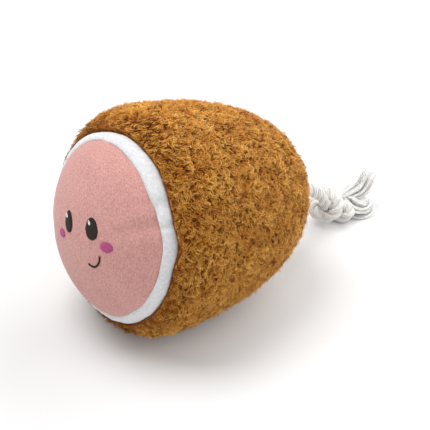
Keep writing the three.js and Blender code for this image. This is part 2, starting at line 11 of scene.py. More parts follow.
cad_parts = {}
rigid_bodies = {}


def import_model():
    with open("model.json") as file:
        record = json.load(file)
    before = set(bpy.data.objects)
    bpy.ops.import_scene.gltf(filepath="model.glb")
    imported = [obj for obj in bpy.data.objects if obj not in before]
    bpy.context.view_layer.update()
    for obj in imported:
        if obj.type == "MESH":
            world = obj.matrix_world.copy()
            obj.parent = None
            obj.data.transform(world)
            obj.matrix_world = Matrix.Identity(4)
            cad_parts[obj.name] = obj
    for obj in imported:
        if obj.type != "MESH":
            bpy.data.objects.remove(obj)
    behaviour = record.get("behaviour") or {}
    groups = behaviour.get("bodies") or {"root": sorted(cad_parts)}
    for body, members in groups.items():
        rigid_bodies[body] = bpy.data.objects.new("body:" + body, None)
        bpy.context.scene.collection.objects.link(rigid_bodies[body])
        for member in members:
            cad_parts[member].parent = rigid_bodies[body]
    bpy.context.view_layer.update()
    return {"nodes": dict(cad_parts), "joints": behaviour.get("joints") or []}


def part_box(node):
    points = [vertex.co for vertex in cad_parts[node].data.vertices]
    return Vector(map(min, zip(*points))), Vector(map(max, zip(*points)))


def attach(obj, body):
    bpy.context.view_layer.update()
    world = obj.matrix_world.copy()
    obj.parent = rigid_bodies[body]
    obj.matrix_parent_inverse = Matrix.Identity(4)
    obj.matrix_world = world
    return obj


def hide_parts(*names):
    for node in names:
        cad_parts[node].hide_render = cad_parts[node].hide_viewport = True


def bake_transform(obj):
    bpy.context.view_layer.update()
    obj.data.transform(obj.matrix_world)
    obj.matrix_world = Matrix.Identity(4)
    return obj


for left_over in list(bpy.data.objects):
    bpy.data.objects.remove(left_over)
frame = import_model()
joint_at = {joint["name"]: Vector(joint["pos_m"]) for joint in frame["joints"] if "pos_m" in joint}
scene = bpy.context.scene
scene.view_settings.view_transform = "Standard"


# Stage: a white table under broad, soft light from above and a little to the left, as in a product
# photograph. The body's own axes run from the middle of the face to the tail, which is the lower end.
BODY_PITCH = math.radians(8.7)
EXIT_AT = 0.1905
LOOK_AT = 0.084
CAMERA_AZIMUTH = math.radians(49.82)
CAMERA_ELEVATION = math.radians(30.36)
CAMERA_DISTANCE = 0.763
PHOTO_SIDE = 430
FOCAL_PIXELS = 1145.8
LOOK_AT_PIXEL = (180.3, 210.2)
TABLE_REACH = 4
TABLE_WHITE = 0.78
TABLE_GLOW = 0.08
FAR_GLOW = 0.85
GLOW_FROM = 0.35
GLOW_TO = 1.3
ROOM_LIGHT = 0.32
KEY_POWER = 10.0
RIM_POWER = 11.0
SIDE_POWER = 5.2
FRONT_POWER = 1.2

rope_exit = joint_at["rope_sway"]
body_turn = Matrix.Rotation(-BODY_PITCH, 4, "X")
body_place = Matrix.Translation(rope_exit) @ body_turn @ Matrix.Translation((0, -EXIT_AT, 0))


def linear(*shades):
    """A colour as it is named on a screen, 0 to 255, as light."""
    parts = [shade / 255 for shade in shades]
    return [part / 12.92 if part < 0.04045 else ((part + 0.055) / 1.055) ** 2.4 for part in parts] + [1]


def new_finish(name, roughness=0.5, specular=0.5, sheen=0.0):
    """An empty material, with its node tree, a way to link sockets and its surface shader."""
    material = bpy.data.materials.new(name)
    material.use_nodes = True
    tree = material.node_tree
    shader = tree.nodes["Principled BSDF"]
    shader.inputs["Roughness"].default_value = roughness
    shader.inputs["Specular IOR Level"].default_value = specular
    shader.inputs["Sheen Weight"].default_value = sheen
    return material, tree.nodes, tree.links.new, shader


def finished(name, shape):
    """The mesh of a shape that is ready."""
    mesh = bpy.data.meshes.new(name)
    shape.to_mesh(mesh)
    shape.free()
    return mesh


def new_piece(name, mesh, finish):
    piece = bpy.data.objects.new(name, mesh)
    scene.collection.objects.link(piece)
    mesh.materials.append(finish)
    return piece


def reckon(nodes, link, operation, *terms):
    """The result of a sum on sockets and plain numbers."""
    step = nodes.new("ShaderNodeMath")
    step.operation = operation
    for socket, term in zip(step.inputs, terms):
        if isinstance(term, bpy.types.NodeSocket):
            link(term, socket)
        else:
            socket.default_value = term
    return step.outputs[0]


def camera_and_mirrors(nodes, link):
    """Light Path's answer for what the camera sees, by itself or through gloss and glass."""
    path = nodes.new("ShaderNodeLightPath").outputs
    gloss = reckon(nodes, link, "MAXIMUM", path["Is Camera Ray"], path["Is Glossy Ray"])
    return reckon(nodes, link, "MAXIMUM", gloss, path["Is Transmission Ray"])


table_top = bmesh.new()
bmesh.ops.create_grid(table_top, x_segments=1, y_segments=1, size=TABLE_REACH)
table_white, nodes, link, shader = new_finish("table_white", roughness=1, specular=0)
shader.inputs["Base Color"].default_value = (TABLE_WHITE, TABLE_WHITE, TABLE_WHITE, 1)
shader.inputs["Emission Color"].default_value = (1, 1, 1, 1)
place = nodes.new("ShaderNodeTexCoord")
reach = nodes.new("ShaderNodeVectorMath")
reach.operation = "LENGTH"
link(place.outputs["Object"], reach.inputs[0])
away = nodes.new("ShaderNodeMapRange")
away.interpolation_type = "SMOOTHSTEP"
away.inputs["From Min"].default_value = GLOW_FROM
away.inputs["From Max"].default_value = GLOW_TO
away.inputs["To Min"].default_value = TABLE_GLOW
away.inputs["To Max"].default_value = FAR_GLOW
link(reach.outputs["Value"], away.inputs["Value"])
glow = reckon(nodes, link, "MULTIPLY", camera_and_mirrors(nodes, link), away.outputs["Result"])
link(glow, shader.inputs["Emission Strength"])
new_piece("table_top", finished("table_top", table_top), table_white)

world = bpy.data.worlds.new("studio")
world.use_nodes = True
scene.world = world
nodes, link = world.node_tree.nodes, world.node_tree.links.new
room_light = nodes["Background"]
room_light.inputs["Color"].default_value = (1, 1, 1, 1)
room_light.inputs["Strength"].default_value = ROOM_LIGHT
backdrop = nodes.new("ShaderNodeBackground")
backdrop.inputs["Color"].default_value = (1, 1, 1, 1)
backdrop.inputs["Strength"].default_value = 1
seen = nodes.new("ShaderNodeMixShader")
link(camera_and_mirrors(nodes, link), seen.inputs["Fac"])
link(room_light.outputs[0], seen.inputs[1])
link(backdrop.outputs[0], seen.inputs[2])
link(seen.outputs[0], nodes["World Output"].inputs["Surface"])

middle = body_place @ Vector((0, LOOK_AT, 0))
to_camera = Vector((
    math.sin(CAMERA_AZIMUTH) * math.cos(CAMERA_ELEVATION),
    -math.cos(CAMERA_AZIMUTH) * math.cos(CAMERA_ELEVATION),
    math.sin(CAMERA_ELEVATION),
))
picture_right = Vector((0, 0, 1)).cross(to_camera).normalized()
picture_up = to_camera.cross(picture_right)


def add_lamp(name, aside, up, forward, size, power):
    """A square soft box that faces the middle of the body, placed as the picture shows it."""
    lamp = bpy.data.lights.new(name, "AREA")
    lamp.size = size
    lamp.energy = power
    holder = bpy.data.objects.new(name, lamp)
    ahead = Vector((0, 0, 1)).cross(picture_right)
    offset = picture_right * aside + Vector((0, 0, up)) - ahead * forward
    facing = offset.to_track_quat("Z", "Y").to_matrix().to_4x4()
    holder.matrix_world = Matrix.Translation(middle + offset) @ facing
    scene.collection.objects.link(holder)


add_lamp("key_box", aside=-0.36, up=1.05, forward=-0.05, size=0.75, power=KEY_POWER)
add_lamp("rim_box", aside=0.8, up=0.85, forward=-0.8, size=1.2, power=RIM_POWER)
add_lamp("side_box", aside=1.0, up=0.55, forward=0.1, size=0.8, power=SIDE_POWER)
add_lamp("front_box", aside=-0.1, up=0.75, forward=1.0, size=0.8, power=FRONT_POWER)

lens = bpy.data.cameras.new("camera")
lens.sensor_width = 36
lens.lens = FOCAL_PIXELS / PHOTO_SIDE * lens.sensor_width
camera = bpy.data.objects.new("camera", lens)
scene.collection.objects.link(camera)
pixel = CAMERA_DISTANCE / FOCAL_PIXELS
aside, down = (at - PHOTO_SIDE / 2 for at in LOOK_AT_PIXEL)
aim = middle - picture_right * aside * pixel + picture_up * down * pixel
camera.location = middle + to_camera * CAMERA_DISTANCE
camera.rotation_euler = (aim - camera.location).to_track_quat("-Z", "Y").to_euler()
scene.camera = camera


# Stuffed body: the cloth is pulled tight over its stuffing, round at the face and tapering to a round tail.
# Each half of its outline is a superellipse, turned about the body's axis and a little taller than wide.
CLOTH_LENGTH = 0.1745
CLOTH_HALF_WIDTH = 0.065
CLOTH_HALF_HEIGHT = 0.0695
BELLY_AT = 0.0534
SHANK_RADIUS = 0.0588
FACE_ROUNDNESS = 2.14
TAIL_ROUNDNESS = 2.58
OVAL = CLOTH_HALF_HEIGHT / CLOTH_HALF_WIDTH
OUTLINE_POINTS = 4001

turn = np.linspace(0, math.pi, OUTLINE_POINTS)
on_face = turn < math.pi / 2
power = 2 / np.where(on_face, FACE_ROUNDNESS, TAIL_ROUNDNESS)
across = np.maximum(np.sin(turn), 0) ** power
along = np.abs(np.cos(turn)) ** power
flank = CLOTH_HALF_WIDTH + (SHANK_RADIUS - CLOTH_HALF_WIDTH) * along
line_radius = np.where(on_face, CLOTH_HALF_WIDTH, flank) * across
line_depth = np.where(on_face, BELLY_AT * (1 - along), BELLY_AT + (CLOTH_LENGTH - BELLY_AT) * along)
line_step = np.hypot(np.diff(line_radius), np.diff(line_depth))
line_arc = np.concatenate([[0], np.cumsum(line_step)])
cloth_arc = line_arc[-1]
to_room = np.array(body_place)


def unit(vectors, tiny=0.0):
    """Vectors brought to a length of 1, where tiny guards those that have none."""
    return vectors / (np.linalg.norm(vectors, axis=-1, keepdims=True) + tiny)


def skin(arc, angle, height=0.0):
    """Points of the cloth in the room, with their outward directions. arc runs from the nose along the
    cloth, angle from the top towards the right of the face, and height stands off the cloth."""
    arc, angle, height = np.broadcast_arrays(arc, angle, height)
    radius = np.interp(arc, line_arc, line_radius)
    depth = np.interp(arc, line_arc, line_depth)
    nudge = cloth_arc / 2000
    rise = np.interp(arc + nudge, line_arc, line_radius) - np.interp(arc - nudge, line_arc, line_radius)
    run = np.interp(arc + nudge, line_arc, line_depth) - np.interp(arc - nudge, line_arc, line_depth)
    sine, cosine = np.sin(angle), np.cos(angle)
    outward = unit(np.stack([sine * run, -rise, cosine * run / OVAL], axis=-1))
    points = np.stack([sine * radius, depth, OVAL * cosine * radius], axis=-1)
    points = points + outward * height[..., None]
    return points @ to_room[:3, :3].T + to_room[:3, 3], outward @ to_room[:3, :3].T


# Face: a disc of short pink velour, stretched over the stuffed end so that it bulges, and sewn to the
# ring all round. The seam draws it in a little and puckers it, most of all at one place on the right.
FACE_RADIUS = 0.0538
HEM = 0.004
SEAM_DRAW = 0.0007
SEAM_REACH = 0.005
SEAM_UNEVEN = 0.5
FACE_RINGS = 44
FACE_SPOKES = 240
# Where the seam strays from its circle: degrees round the face, millimetres outwards
FACE_SEAM_STRAY = [
    (0, 1.4), (25, 0.1), (45, -1), (60, 0.2), (77, 1.2), (95, 0), (120, -1.9), (140, -2.2),
    (170, -0.5), (205, 0.5), (250, 0), (300, 1.5), (335, 1.9),
]
# Folds that the seam draws in: degrees, half width in degrees, depth and reach in millimetres
FACE_FOLDS = [
    (65, 5, 1.7, 21), (50, 4, 0.6, 13), (98, 7, 1, 17),
    (15, 6, 0.5, 14), (140, 7, 0.8, 15), (255, 6, 0.9, 16),
]

front_half = line_arc[: len(line_arc) // 2 + 1]
face_arc = float(np.interp(FACE_RADIUS, line_radius[: len(front_half)], front_half))


def pucker(angle, scale, seed):
    """Uneven pull of a seam round the face, from -1 to 1."""
    return np.array([
        noise.noise((scale * math.cos(a), scale * math.sin(a), seed)) for a in np.atleast_1d(angle)
    ])


def strayed(angles, places):
    """How far a seam strays from its circle, eased from each place to the next."""
    at = np.radians([degrees for degrees, _ in places] + [places[0][0] + 360])
    off = np.array([aside for _, aside in places] + [places[0][1]]) / 1000
    turned = (angles - at[0]) % (2 * math.pi) + at[0]
    left = np.clip(np.searchsorted(at, turned, side="right") - 1, 0, len(places) - 1)
    share = (turned - at[left]) / (at[left + 1] - at[left])
    return off[left] + (off[left + 1] - off[left]) * (1 - np.cos(np.pi * share)) / 2


def folded(angles, from_seam, folds):
    """How deep soft folds lie, at angles round the face and at distances from the seam that makes them."""
    depth = np.zeros_like(from_seam)
    for degrees, width, fold_depth, reach in folds:
        off = np.degrees(np.angle(np.exp(1j * (angles - math.radians(degrees)))))[:, None] / width
        depth += fold_depth / 1000 * np.exp(-(off**2) - (from_seam * 1000 / reach) ** 2)
    return depth


def welded(name, shape, within):
    """The smooth mesh of a shape whose corners are joined where they meet."""
    bmesh.ops.remove_doubles(shape, verts=shape.verts, dist=within)
    bmesh.ops.recalc_face_normals(shape, faces=shape.faces)
    mesh = finished(name, shape)
    mesh.shade_smooth()
    return mesh


def turned_patch(name, arcs, heights, spokes, start=0.0, sweep=2 * math.pi):
    """A strip of cloth spun round the body's axis, with arcs and heights given per spoke and ring."""
    strip = bmesh.new()
    closed = sweep > 2 * math.pi - 1e-6
    count = spokes if closed else spokes + 1
    angles = start + sweep * np.arange(count) / spokes
    places, _ = skin(arcs(angles), angles[:, None], heights(angles))
    chain = [strip.verts.new(place) for place in places[0]]
    edges = [strip.edges.new(pair) for pair in zip(chain, chain[1:])]
    axis_point = body_place @ Vector((0, 0, 0))
    axis_line = body_turn @ Vector((0, 1, 0))
    bmesh.ops.spin(
        strip, geom=chain + edges, cent=axis_point, axis=axis_line,
        angle=sweep, steps=spokes, use_merge=closed,
    )
    strip.verts.ensure_lookup_table()
    rings = places.shape[1]
    for index, vertex in enumerate(strip.verts):
        vertex.co = places[index // rings, index % rings]
    return welded(name, strip, within=1e-7)


def face_arcs(angles):
    share = np.append(np.linspace(0, 1, FACE_RINGS), 1)
    return share[None, :] * (face_arc + strayed(angles, FACE_SEAM_STRAY))[:, None]


def face_heights(angles):
    arcs = face_arcs(angles)
    from_seam = arcs[:, -1:] - arcs
    pull = 1 + SEAM_UNEVEN * pucker(angles, 4, 1.7)[:, None]
    heights = -SEAM_DRAW * np.exp(-from_seam / SEAM_REACH) * pull - folded(angles, from_seam, FACE_FOLDS)
    heights[:, -1] -= HEM
    return heights


def grain(nodes, link, scale, detail, roughness=0.5, stretch=None):
    """The level of a fine noise, laid in the piece's own space."""
    place = nodes.new("ShaderNodeTexCoord").outputs["Object"]
    if stretch:
        drawn_out = nodes.new("ShaderNodeMapping")
        drawn_out.inputs["Scale"].default_value = stretch
        link(place, drawn_out.inputs["Vector"])
        place = drawn_out.outputs["Vector"]
    speckle = nodes.new("ShaderNodeTexNoise")
    speckle.inputs["Scale"].default_value = scale
    speckle.inputs["Detail"].default_value = detail
    speckle.inputs["Roughness"].default_value = roughness
    link(place, speckle.inputs["Vector"])
    return speckle.outputs["Fac"]


def shaded(nodes, link, level, *stops):
    """A colour by a level. Each stop is a place on the level, from 0 to 1, and a colour."""
    ramp = nodes.new("ShaderNodeValToRGB")
    elements = ramp.color_ramp.elements
    elements[0].position, elements[1].position = stops[0][0], stops[-1][0]
    for position, _ in stops[1:-1]:
        elements.new(position)
    for element, (_, shade) in zip(elements, stops):
        element.color = linear(*shade)
    link(level, ramp.inputs["Fac"])
    return ramp.outputs["Color"]


def dye(nodes, link, shader, level, *stops):
    link(shaded(nodes, link, level, *stops), shader.inputs["Base Color"])


def emboss(nodes, link, shader, level, depth, strength=1.0):
    """Raises a surface by a level."""
    relief = nodes.new("ShaderNodeBump")
    relief.inputs["Strength"].default_value = strength
    relief.inputs["Distance"].default_value = depth
    link(level, relief.inputs["Height"])
    link(relief.outputs["Normal"], shader.inputs["Normal"])


face_mesh = turned_patch("face_velour", face_arcs, face_heights, FACE_SPOKES)
velour, nodes, link, shader = new_finish("pink_velour", roughness=0.95, specular=0.1, sheen=0.25)
shader.inputs["Sheen Roughness"].default_value = 0.5
nap = grain(nodes, link, scale=1050, detail=3, roughness=0.6, stretch=(1, 1, 0.6))
brushed = grain(nodes, link, scale=60, detail=3)
shade = nodes.new("ShaderNodeMix")
shade.data_type = "FLOAT"
shade.inputs["Factor"].default_value = 0.12
link(nap, shade.inputs[2])
link(brushed, shade.inputs[3])
dye(nodes, link, shader, shade.outputs[0], (0.3, (204, 140, 133)), (0.7, (242, 188, 180)))
emboss(nodes, link, shader, nap, depth=0.0008, strength=0.9)
face = new_piece("face_velour", face_mesh, velour)
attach(face, "ham")
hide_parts("face_panel")


# Fat ring: a band of white fleece between the face and the fur, sewn at both edges and swelling between
# its two seams. Its width wanders a little, and it creases where the seams draw it in.
RING_WIDTH = 0.0086
RING_SWELL = 0.0016
RING_UNEVEN = 0.22
RING_SPOKES = 300
RING_ROWS = 15
# Where its outer seam strays and what folds it has, as for the face
RING_SEAM_STRAY = [
    (5, 2), (33, 2.2), (45, 1.2), (64, 0.4), (78, 1.9), (95, -0.4), (125, -1), (145, -0.2),
    (165, 2), (205, 1), (260, 2.5), (310, 2.5), (340, 0),
]
RING_FOLDS = [
    (54, 5, 1.1, 30), (66.5, 2, 0.9, 30), (97, 5, 0.8, 30),
    (138, 5, 0.8, 30), (18, 3, 0.6, 30), (255, 4, 1, 30),
]

ring_shares = np.linspace(0, 1, RING_ROWS)[None, :]


def ring_arcs(angles):
    inner = (face_arc + strayed(angles, FACE_SEAM_STRAY))[:, None]
    outer = (face_arc + RING_WIDTH + strayed(angles, RING_SEAM_STRAY))[:, None]
    rows = inner + (outer - inner) * ring_shares
    return np.concatenate([rows[:, :1], rows, rows[:, -1:]], axis=1)


def ring_heights(angles):
    swell = RING_SWELL * np.sin(np.pi * ring_shares) ** 0.6
    ripple = 1 + RING_UNEVEN * pucker(angles, 9, 4.1)[:, None]
    creased = folded(angles, np.zeros((len(angles), 1)), RING_FOLDS)
    rows = swell * ripple - SEAM_DRAW - creased
    hem = np.full((len(angles), 1), -HEM)
    return np.concatenate([rows[:, :1] + hem, rows, rows[:, -1:] + hem], axis=1)


ring_mesh = turned_patch("fat_ring", ring_arcs, ring_heights, RING_SPOKES)
fleece, nodes, link, shader = new_finish("white_fleece", roughness=1, specular=0.05, sheen=0.2)
tufts = grain(nodes, link, scale=520, detail=5, roughness=0.65)
dye(nodes, link, shader, tufts, (0.3, (222, 224, 227)), (0.65, (248, 248, 249)))
emboss(nodes, link, shader, tufts, depth=0.0006, strength=0.5)
ring = new_piece("fat_ring_fleece", ring_mesh, fleece)
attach(ring, "ham")
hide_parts("fat_ring")


# Fur cover: four panels of long curly plush on a knitted backing. The pile grows in locks, each lock
# leaning and curling its own way, and its fibres are dark at the root and pale at the tip; the dark roots
# are partly their own colour and partly painted shade deep in the pile.
PILE = 0.007
PILE_FULLNESS = 1.1
PILE_ROUNDING = 0.016
# Locks: how far apart they grow, how they lean, curl and wave, and how they draw their fibres together
LOCK_SPACING = 0.0021
LOCK_LEAN = (0.0026, 0.0054)
COMBED = (0, 0.14, -1)
SWIRL_SIZE = 0.009
SWIRL_TURN = 1.05
LOCK_TURN = 0.4
LOCK_CURL = 0.9
LOCK_PULL = 0.4
LOCK_WAVE = 0.0011
WAVE_TURNS = 1.1
# Lumps of locks that stand up, and partings between them that lie lower and are painted darker, as shade
LUMP_SIZE = 0.0085
LUMP_RISE = 0.2
LOCK_UNEVEN = 0.06
PARTING_SIZE = 0.026
PARTING_STRETCH = (1, 2.2, 1)
PARTING_WIDTH = 0.07
PARTING_DROP = 0.1
PARTING_PAINTED_SHADE = 0.34
# Fibres of a lock: flat ribbons that narrow to the tip, of which a few stand taller
FIBRE_SPACING = 0.00086
FIBRE_WIDTH = 0.00047
FIBRE_TAPER = 0.72
FIBRE_STEPS = 6
FIBRE_REACH = (0.86, 1.06)
FIBRE_UNEVEN = (0.8, 1.2)
FIBRE_PHASE = 0.08
FIBRE_TURN = 0.3
FIBRE_ROLL = 0.45
TALL_SHARE = 0.06
TALL_REACH = 0.18
SOFTNESS = 0.65
ROOT_SHARE = 0.45
LOWEST = 0.0003
# How pale a fibre is, from 0 to 1, and how far lumps, wider areas, locks and single fibres vary it. The
# lumps' share is painted light on their raised tops and painted shade in the hollows between them; the
# others vary at random
TONE = 0.39
PAINTED_LUMP_LIGHT_AND_SHADE = 0.4
TONE_OF_AREAS = 0.32
AREA_SIZE = 0.018
TONE_OF_LOCKS = 0.12
TONE_OF_FIBRES = 0.16
# The colours of the darkest and the palest fibres, at these shares of their length. Their dark reddish
# roots are partly their own colour and partly painted shade deep in the pile
FIBRE_STOPS = (0.1, 0.58, 0.95)
DARK_FIBRE = ((112, 46, 4), (166, 90, 12), (202, 128, 32))
PALE_FIBRE = ((164, 88, 14), (228, 154, 44), (253, 214, 122))
# The pile is shorter beside the ring on the far side of the face
FAR_SIDE = math.radians(70)
FAR_SPREAD = 0.7
FAR_DROP = 0.5
# The pile and its backing leave room for the rope at the tail
ROPE_GAP = 0.005
BACKING_HEIGHT = 0.0044
BACKING_STEPS = 40
BACKING_OVERLAP = 0.001
SLOPE_STEP = 0.0005
PANELS = {"top": 0, "right": 1, "bottom": 2, "left": 3}

fur_arc = face_arc + RING_WIDTH
fur_end = cloth_arc - ROPE_GAP
dice = np.random.default_rng(742)


def fur_start(angles):
    return fur_arc + strayed(angles, RING_SEAM_STRAY)


def scattered(spacing, middle_angle):
    """Arcs and angles of points scattered evenly over one fur panel, in shaken rows."""
    arcs, angles = [], []
    row_count = int((fur_end - fur_arc) / spacing)
    for row in range(row_count):
        arc = fur_arc + (row + dice.uniform(0.1, 0.9, 4000)) * spacing
        girth = np.interp(fur_arc + row * spacing, line_arc, line_radius) * (1 + OVAL) / 2 * math.pi / 2
        count = max(1, round(girth / spacing))
        shaken = (np.arange(count) + dice.uniform(0.05, 0.95, count)) / count
        arcs.append(arc[:count])
        angles.append(middle_angle - math.pi / 4 + shaken * math.pi / 2)
    arcs, angles = np.concatenate(arcs), np.concatenate(angles)
    return fur_end - (fur_end - arcs) * (fur_end - fur_start(angles)) / (fur_end - fur_arc), angles


def swirl(points, size, seed):
    """Smooth random numbers over the body, about -1 to 1."""
    return np.array([noise.noise(Vector(point) / size + Vector((seed, 0, 0))) for point in points])


def cloth_axes(arc, angle):
    """Roots on the cloth with their outward, tailward and sideways directions."""
    root, outward = skin(arc, angle)
    ahead, _ = skin(arc + SLOPE_STEP, angle)
    along = ahead - root
    along = unit(along - outward * np.sum(along * outward, axis=1, keepdims=True))
    return root, outward, along, np.cross(outward, along)


def fur_fibres(middle_angle):
    """Ribbons of one panel's pile: their corners, the way they face, how pale they are, with painted light
    on lumps and painted shade in hollows and partings, and their steps.
    """
    lock_root, lock_outward, lock_along, lock_around = cloth_axes(*scattered(LOCK_SPACING, middle_angle))
    locks = len(lock_root)
    combed_way = np.arctan2(lock_around @ np.array(COMBED), lock_along @ np.array(COMBED))
    lean_way = combed_way + SWIRL_TURN * swirl(lock_root, SWIRL_SIZE, 0) + dice.normal(0, LOCK_TURN, locks)
    lean = dice.uniform(*LOCK_LEAN, locks)
    curl = dice.normal(0, LOCK_CURL, locks)
    wave_start = dice.uniform(0, 1, locks)
    lump = swirl(lock_root, LUMP_SIZE, 5)
    lock_facing = lock_outward.copy()
    for way in (lock_along, lock_around):
        slope = (swirl(lock_root + way * LUMP_SIZE / 10, LUMP_SIZE, 5) - lump) * 10 / LUMP_SIZE
        lock_facing -= PILE * LUMP_RISE * slope[:, None] * way
    lock_facing = unit(lock_facing)
    rise = PILE * (PILE_FULLNESS + LUMP_RISE * lump + dice.uniform(-LOCK_UNEVEN, LOCK_UNEVEN, locks))
    # Raised lumps are painted paler and the hollows between them darker: painted light and shade
    lock_tone_and_shade = TONE + PAINTED_LUMP_LIGHT_AND_SHADE * lump + TONE_OF_AREAS * swirl(lock_root, AREA_SIZE, 9)
    lock_tone_and_shade += dice.normal(0, TONE_OF_LOCKS, locks)
    parting = np.exp(-((swirl(lock_root * PARTING_STRETCH, PARTING_SIZE, 12) / PARTING_WIDTH) ** 2))
    rise *= 1 - PARTING_DROP * parting
    # Partings are painted darker: painted shade in the hollows of the pile
    lock_tone_and_shade -= PARTING_PAINTED_SHADE * parting
    nearest = kdtree.KDTree(locks)
    for index, root in enumerate(lock_root):
        nearest.insert(root, index)
    nearest.balance()

    arc, angle = scattered(FIBRE_SPACING, middle_angle)
    root, outward, along, around = cloth_axes(arc, angle)
    count = len(root)
    lock = np.array([nearest.find(point)[1] for point in root])
    apart = root - lock_root[lock]
    apart_along = np.sum(apart * along, axis=1)
    apart_around = np.sum(apart * around, axis=1)

    share = np.linspace(0, 1, FIBRE_STEPS)[None, :]
    way = (lean_way[lock] + dice.normal(0, FIBRE_TURN, count))[:, None] + curl[lock][:, None] * share
    sweep = (lean[lock] * dice.uniform(*FIBRE_UNEVEN, count))[:, None] * share**1.2
    from_ring = arc - fur_start(angle)
    edge = np.clip(from_ring / PILE_ROUNDING, 0.03, 1)
    reach = dice.uniform(*FIBRE_REACH, count)
    reach += np.where(dice.uniform(0, 1, count) < TALL_SHARE, TALL_REACH, 0)
    height = rise[lock] * reach * np.sqrt(1 - (1 - edge) ** 2)
    far_side = np.exp(-((np.angle(np.exp(1j * (angle + FAR_SIDE))) / FAR_SPREAD) ** 2))
    height *= 1 - FAR_DROP * far_side * np.exp(-from_ring / PILE_ROUNDING)
    phase = (wave_start[lock] + dice.normal(0, FIBRE_PHASE, count))[:, None]
    wave = LOCK_WAVE * np.sin(2 * math.pi * (WAVE_TURNS * share + phase)) * share**0.7
    drawn = LOCK_PULL * share**1.1
    step_along = sweep * np.cos(way) - wave * np.sin(way) - drawn * apart_along[:, None]
    step_along = np.maximum(step_along, -0.9 * from_ring[:, None])
    step_around = sweep * np.sin(way) + wave * np.cos(way) - drawn * apart_around[:, None]
    step_out = height[:, None] * (ROOT_SHARE + (1 - ROOT_SHARE) * (1.9 * share - 0.95 * share**2))
    spine = (
        root[:, None, :]
        + step_along[..., None] * along[:, None, :]
        + step_around[..., None] * around[:, None, :]
        + step_out[..., None] * outward[:, None, :]
    )
    heading = unit(np.gradient(spine, axis=1), tiny=1e-12)
    flat = unit(np.cross(heading, outward[:, None, :]), tiny=1e-9)
    roll = dice.normal(0, FIBRE_ROLL, count)[:, None, None]
    flat = flat * np.cos(roll) + np.cross(heading, flat) * np.sin(roll)
    width = FIBRE_WIDTH * dice.uniform(*FIBRE_UNEVEN, count)[:, None] * (1 - FIBRE_TAPER * share**2)
    half = flat * width[..., None] / 2
    facing = unit(SOFTNESS * lock_facing[lock][:, None, :] + (1 - SOFTNESS) * np.cross(flat, heading))
    corners = np.stack([spine - half, spine + half], axis=2)
    corners[..., 2] = np.maximum(corners[..., 2], LOWEST)
    tone_and_shade = np.clip(lock_tone_and_shade[lock] + dice.normal(0, TONE_OF_FIBRES, count), 0.03, 0.97)
    return corners, facing, tone_and_shade, share[0]


def ribbon_mesh(name, corners, facing, tone_and_shade, share):
    """A mesh of ribbons, shaded the soft way they face as a pile, with a map of tone, which holds painted
    light and shade, and of root to tip.
    """
    count, steps = corners.shape[:2]
    first = (np.arange(count)[:, None] * steps + np.arange(steps - 1)[None, :]) * 2
    quads = np.stack([first, first + 1, first + 3, first + 2], axis=-1).reshape(-1, 4)
    mesh = bpy.data.meshes.new(name)
    mesh.from_pydata(corners.reshape(-1, 3), [], quads)
    mesh.shade_smooth()
    mesh.normals_split_custom_set_from_vertices(np.repeat(facing.reshape(-1, 3), 2, axis=0))
    shares = np.repeat(np.tile(np.clip(share, 0.02, 0.98), count), 2)
    places = np.stack([np.repeat(tone_and_shade, steps * 2), shares], axis=1)
    fibre_map = mesh.uv_layers.new(name="OFBake")
    fibre_map.data.foreach_set("uv", places[quads.ravel()].astype(np.float32).ravel())
    return mesh


curly_fur, nodes, link, shader = new_finish("curly_fur", roughness=0.6, specular=0.12, sheen=0.28)
shader.inputs["Sheen Roughness"].default_value = 0.7
shader.inputs["Sheen Tint"].default_value = linear(255, 212, 132)
fibre = nodes.new("ShaderNodeUVMap")
fibre.uv_map = "OFBake"
parts = nodes.new("ShaderNodeSeparateXYZ")
link(fibre.outputs["UV"], parts.inputs[0])
blend = nodes.new("ShaderNodeMix")
blend.data_type = "RGBA"
link(parts.outputs["X"], blend.inputs["Factor"])
for socket, shades in ((blend.inputs[6], DARK_FIBRE), (blend.inputs[7], PALE_FIBRE)):
    link(shaded(nodes, link, parts.outputs["Y"], *zip(FIBRE_STOPS, shades)), socket)
link(blend.outputs[2], shader.inputs["Base Color"])

# The backing, raised into the pile, is dyed dark reddish brown: partly its own colour and partly painted
# shade between the locks
backing_knit, nodes, link, shader = new_finish("fur_backing", roughness=1)
knit = grain(nodes, link, scale=700, detail=5)
dye(nodes, link, shader, knit, (0.38, (112, 52, 12)), (0.66, (190, 114, 40)))
emboss(nodes, link, shader, knit, depth=0.001)


def backing_arcs(angles):
    start = fur_start(angles)[:, None]
    return start + (fur_end + BACKING_OVERLAP - start) * np.linspace(0, 1, BACKING_STEPS)[None, :]


def backing_heights(angles):
    from_ring = (backing_arcs(angles) - fur_start(angles)[:, None]) / PILE_ROUNDING
    return BACKING_HEIGHT * np.minimum(from_ring, 1) - HEM / 8


for side, quarter in PANELS.items():
    middle_angle = quarter * math.pi / 2
    pile_mesh = ribbon_mesh(f"fur_pile_{side}", *fur_fibres(middle_angle))
    pile = new_piece(f"fur_pile_{side}", pile_mesh, curly_fur)
    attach(pile, "ham")
    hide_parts(f"fur_panel_{side}")
    backing_mesh = turned_patch(
        f"fur_backing_{side}", backing_arcs, backing_heights, BACKING_STEPS,
        start=middle_angle - math.pi / 4, sweep=math.pi / 2,
    )
    backing = new_piece(f"fur_backing_{side}", backing_mesh, backing_knit)
    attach(backing, "ham")


# Embroidered features: dark brown eyes with a white glint, magenta cheeks and a short smile, worked in
# satin stitch. Each row of thread lies beside the last, arches over the padding and dives into the velour.
FACE_ROLL = math.radians(10.7)
FACE_SHIFT = 0.0028
FACE_LIFT = 0.0016
# Rows of thread: how far apart they lie, half a row's width as a share of that, and how a row arches
THREAD_PITCH = 0.00046
THREAD_WIDTH = 0.56
THREAD_CROWN = 0.00022
THREAD_RISE = 0.0003
THREAD_DIVE = 0.0002
THREAD_STEPS = 10
THREAD_SIDES = 4
ROW_UNEVEN = (0.95, 1.05)
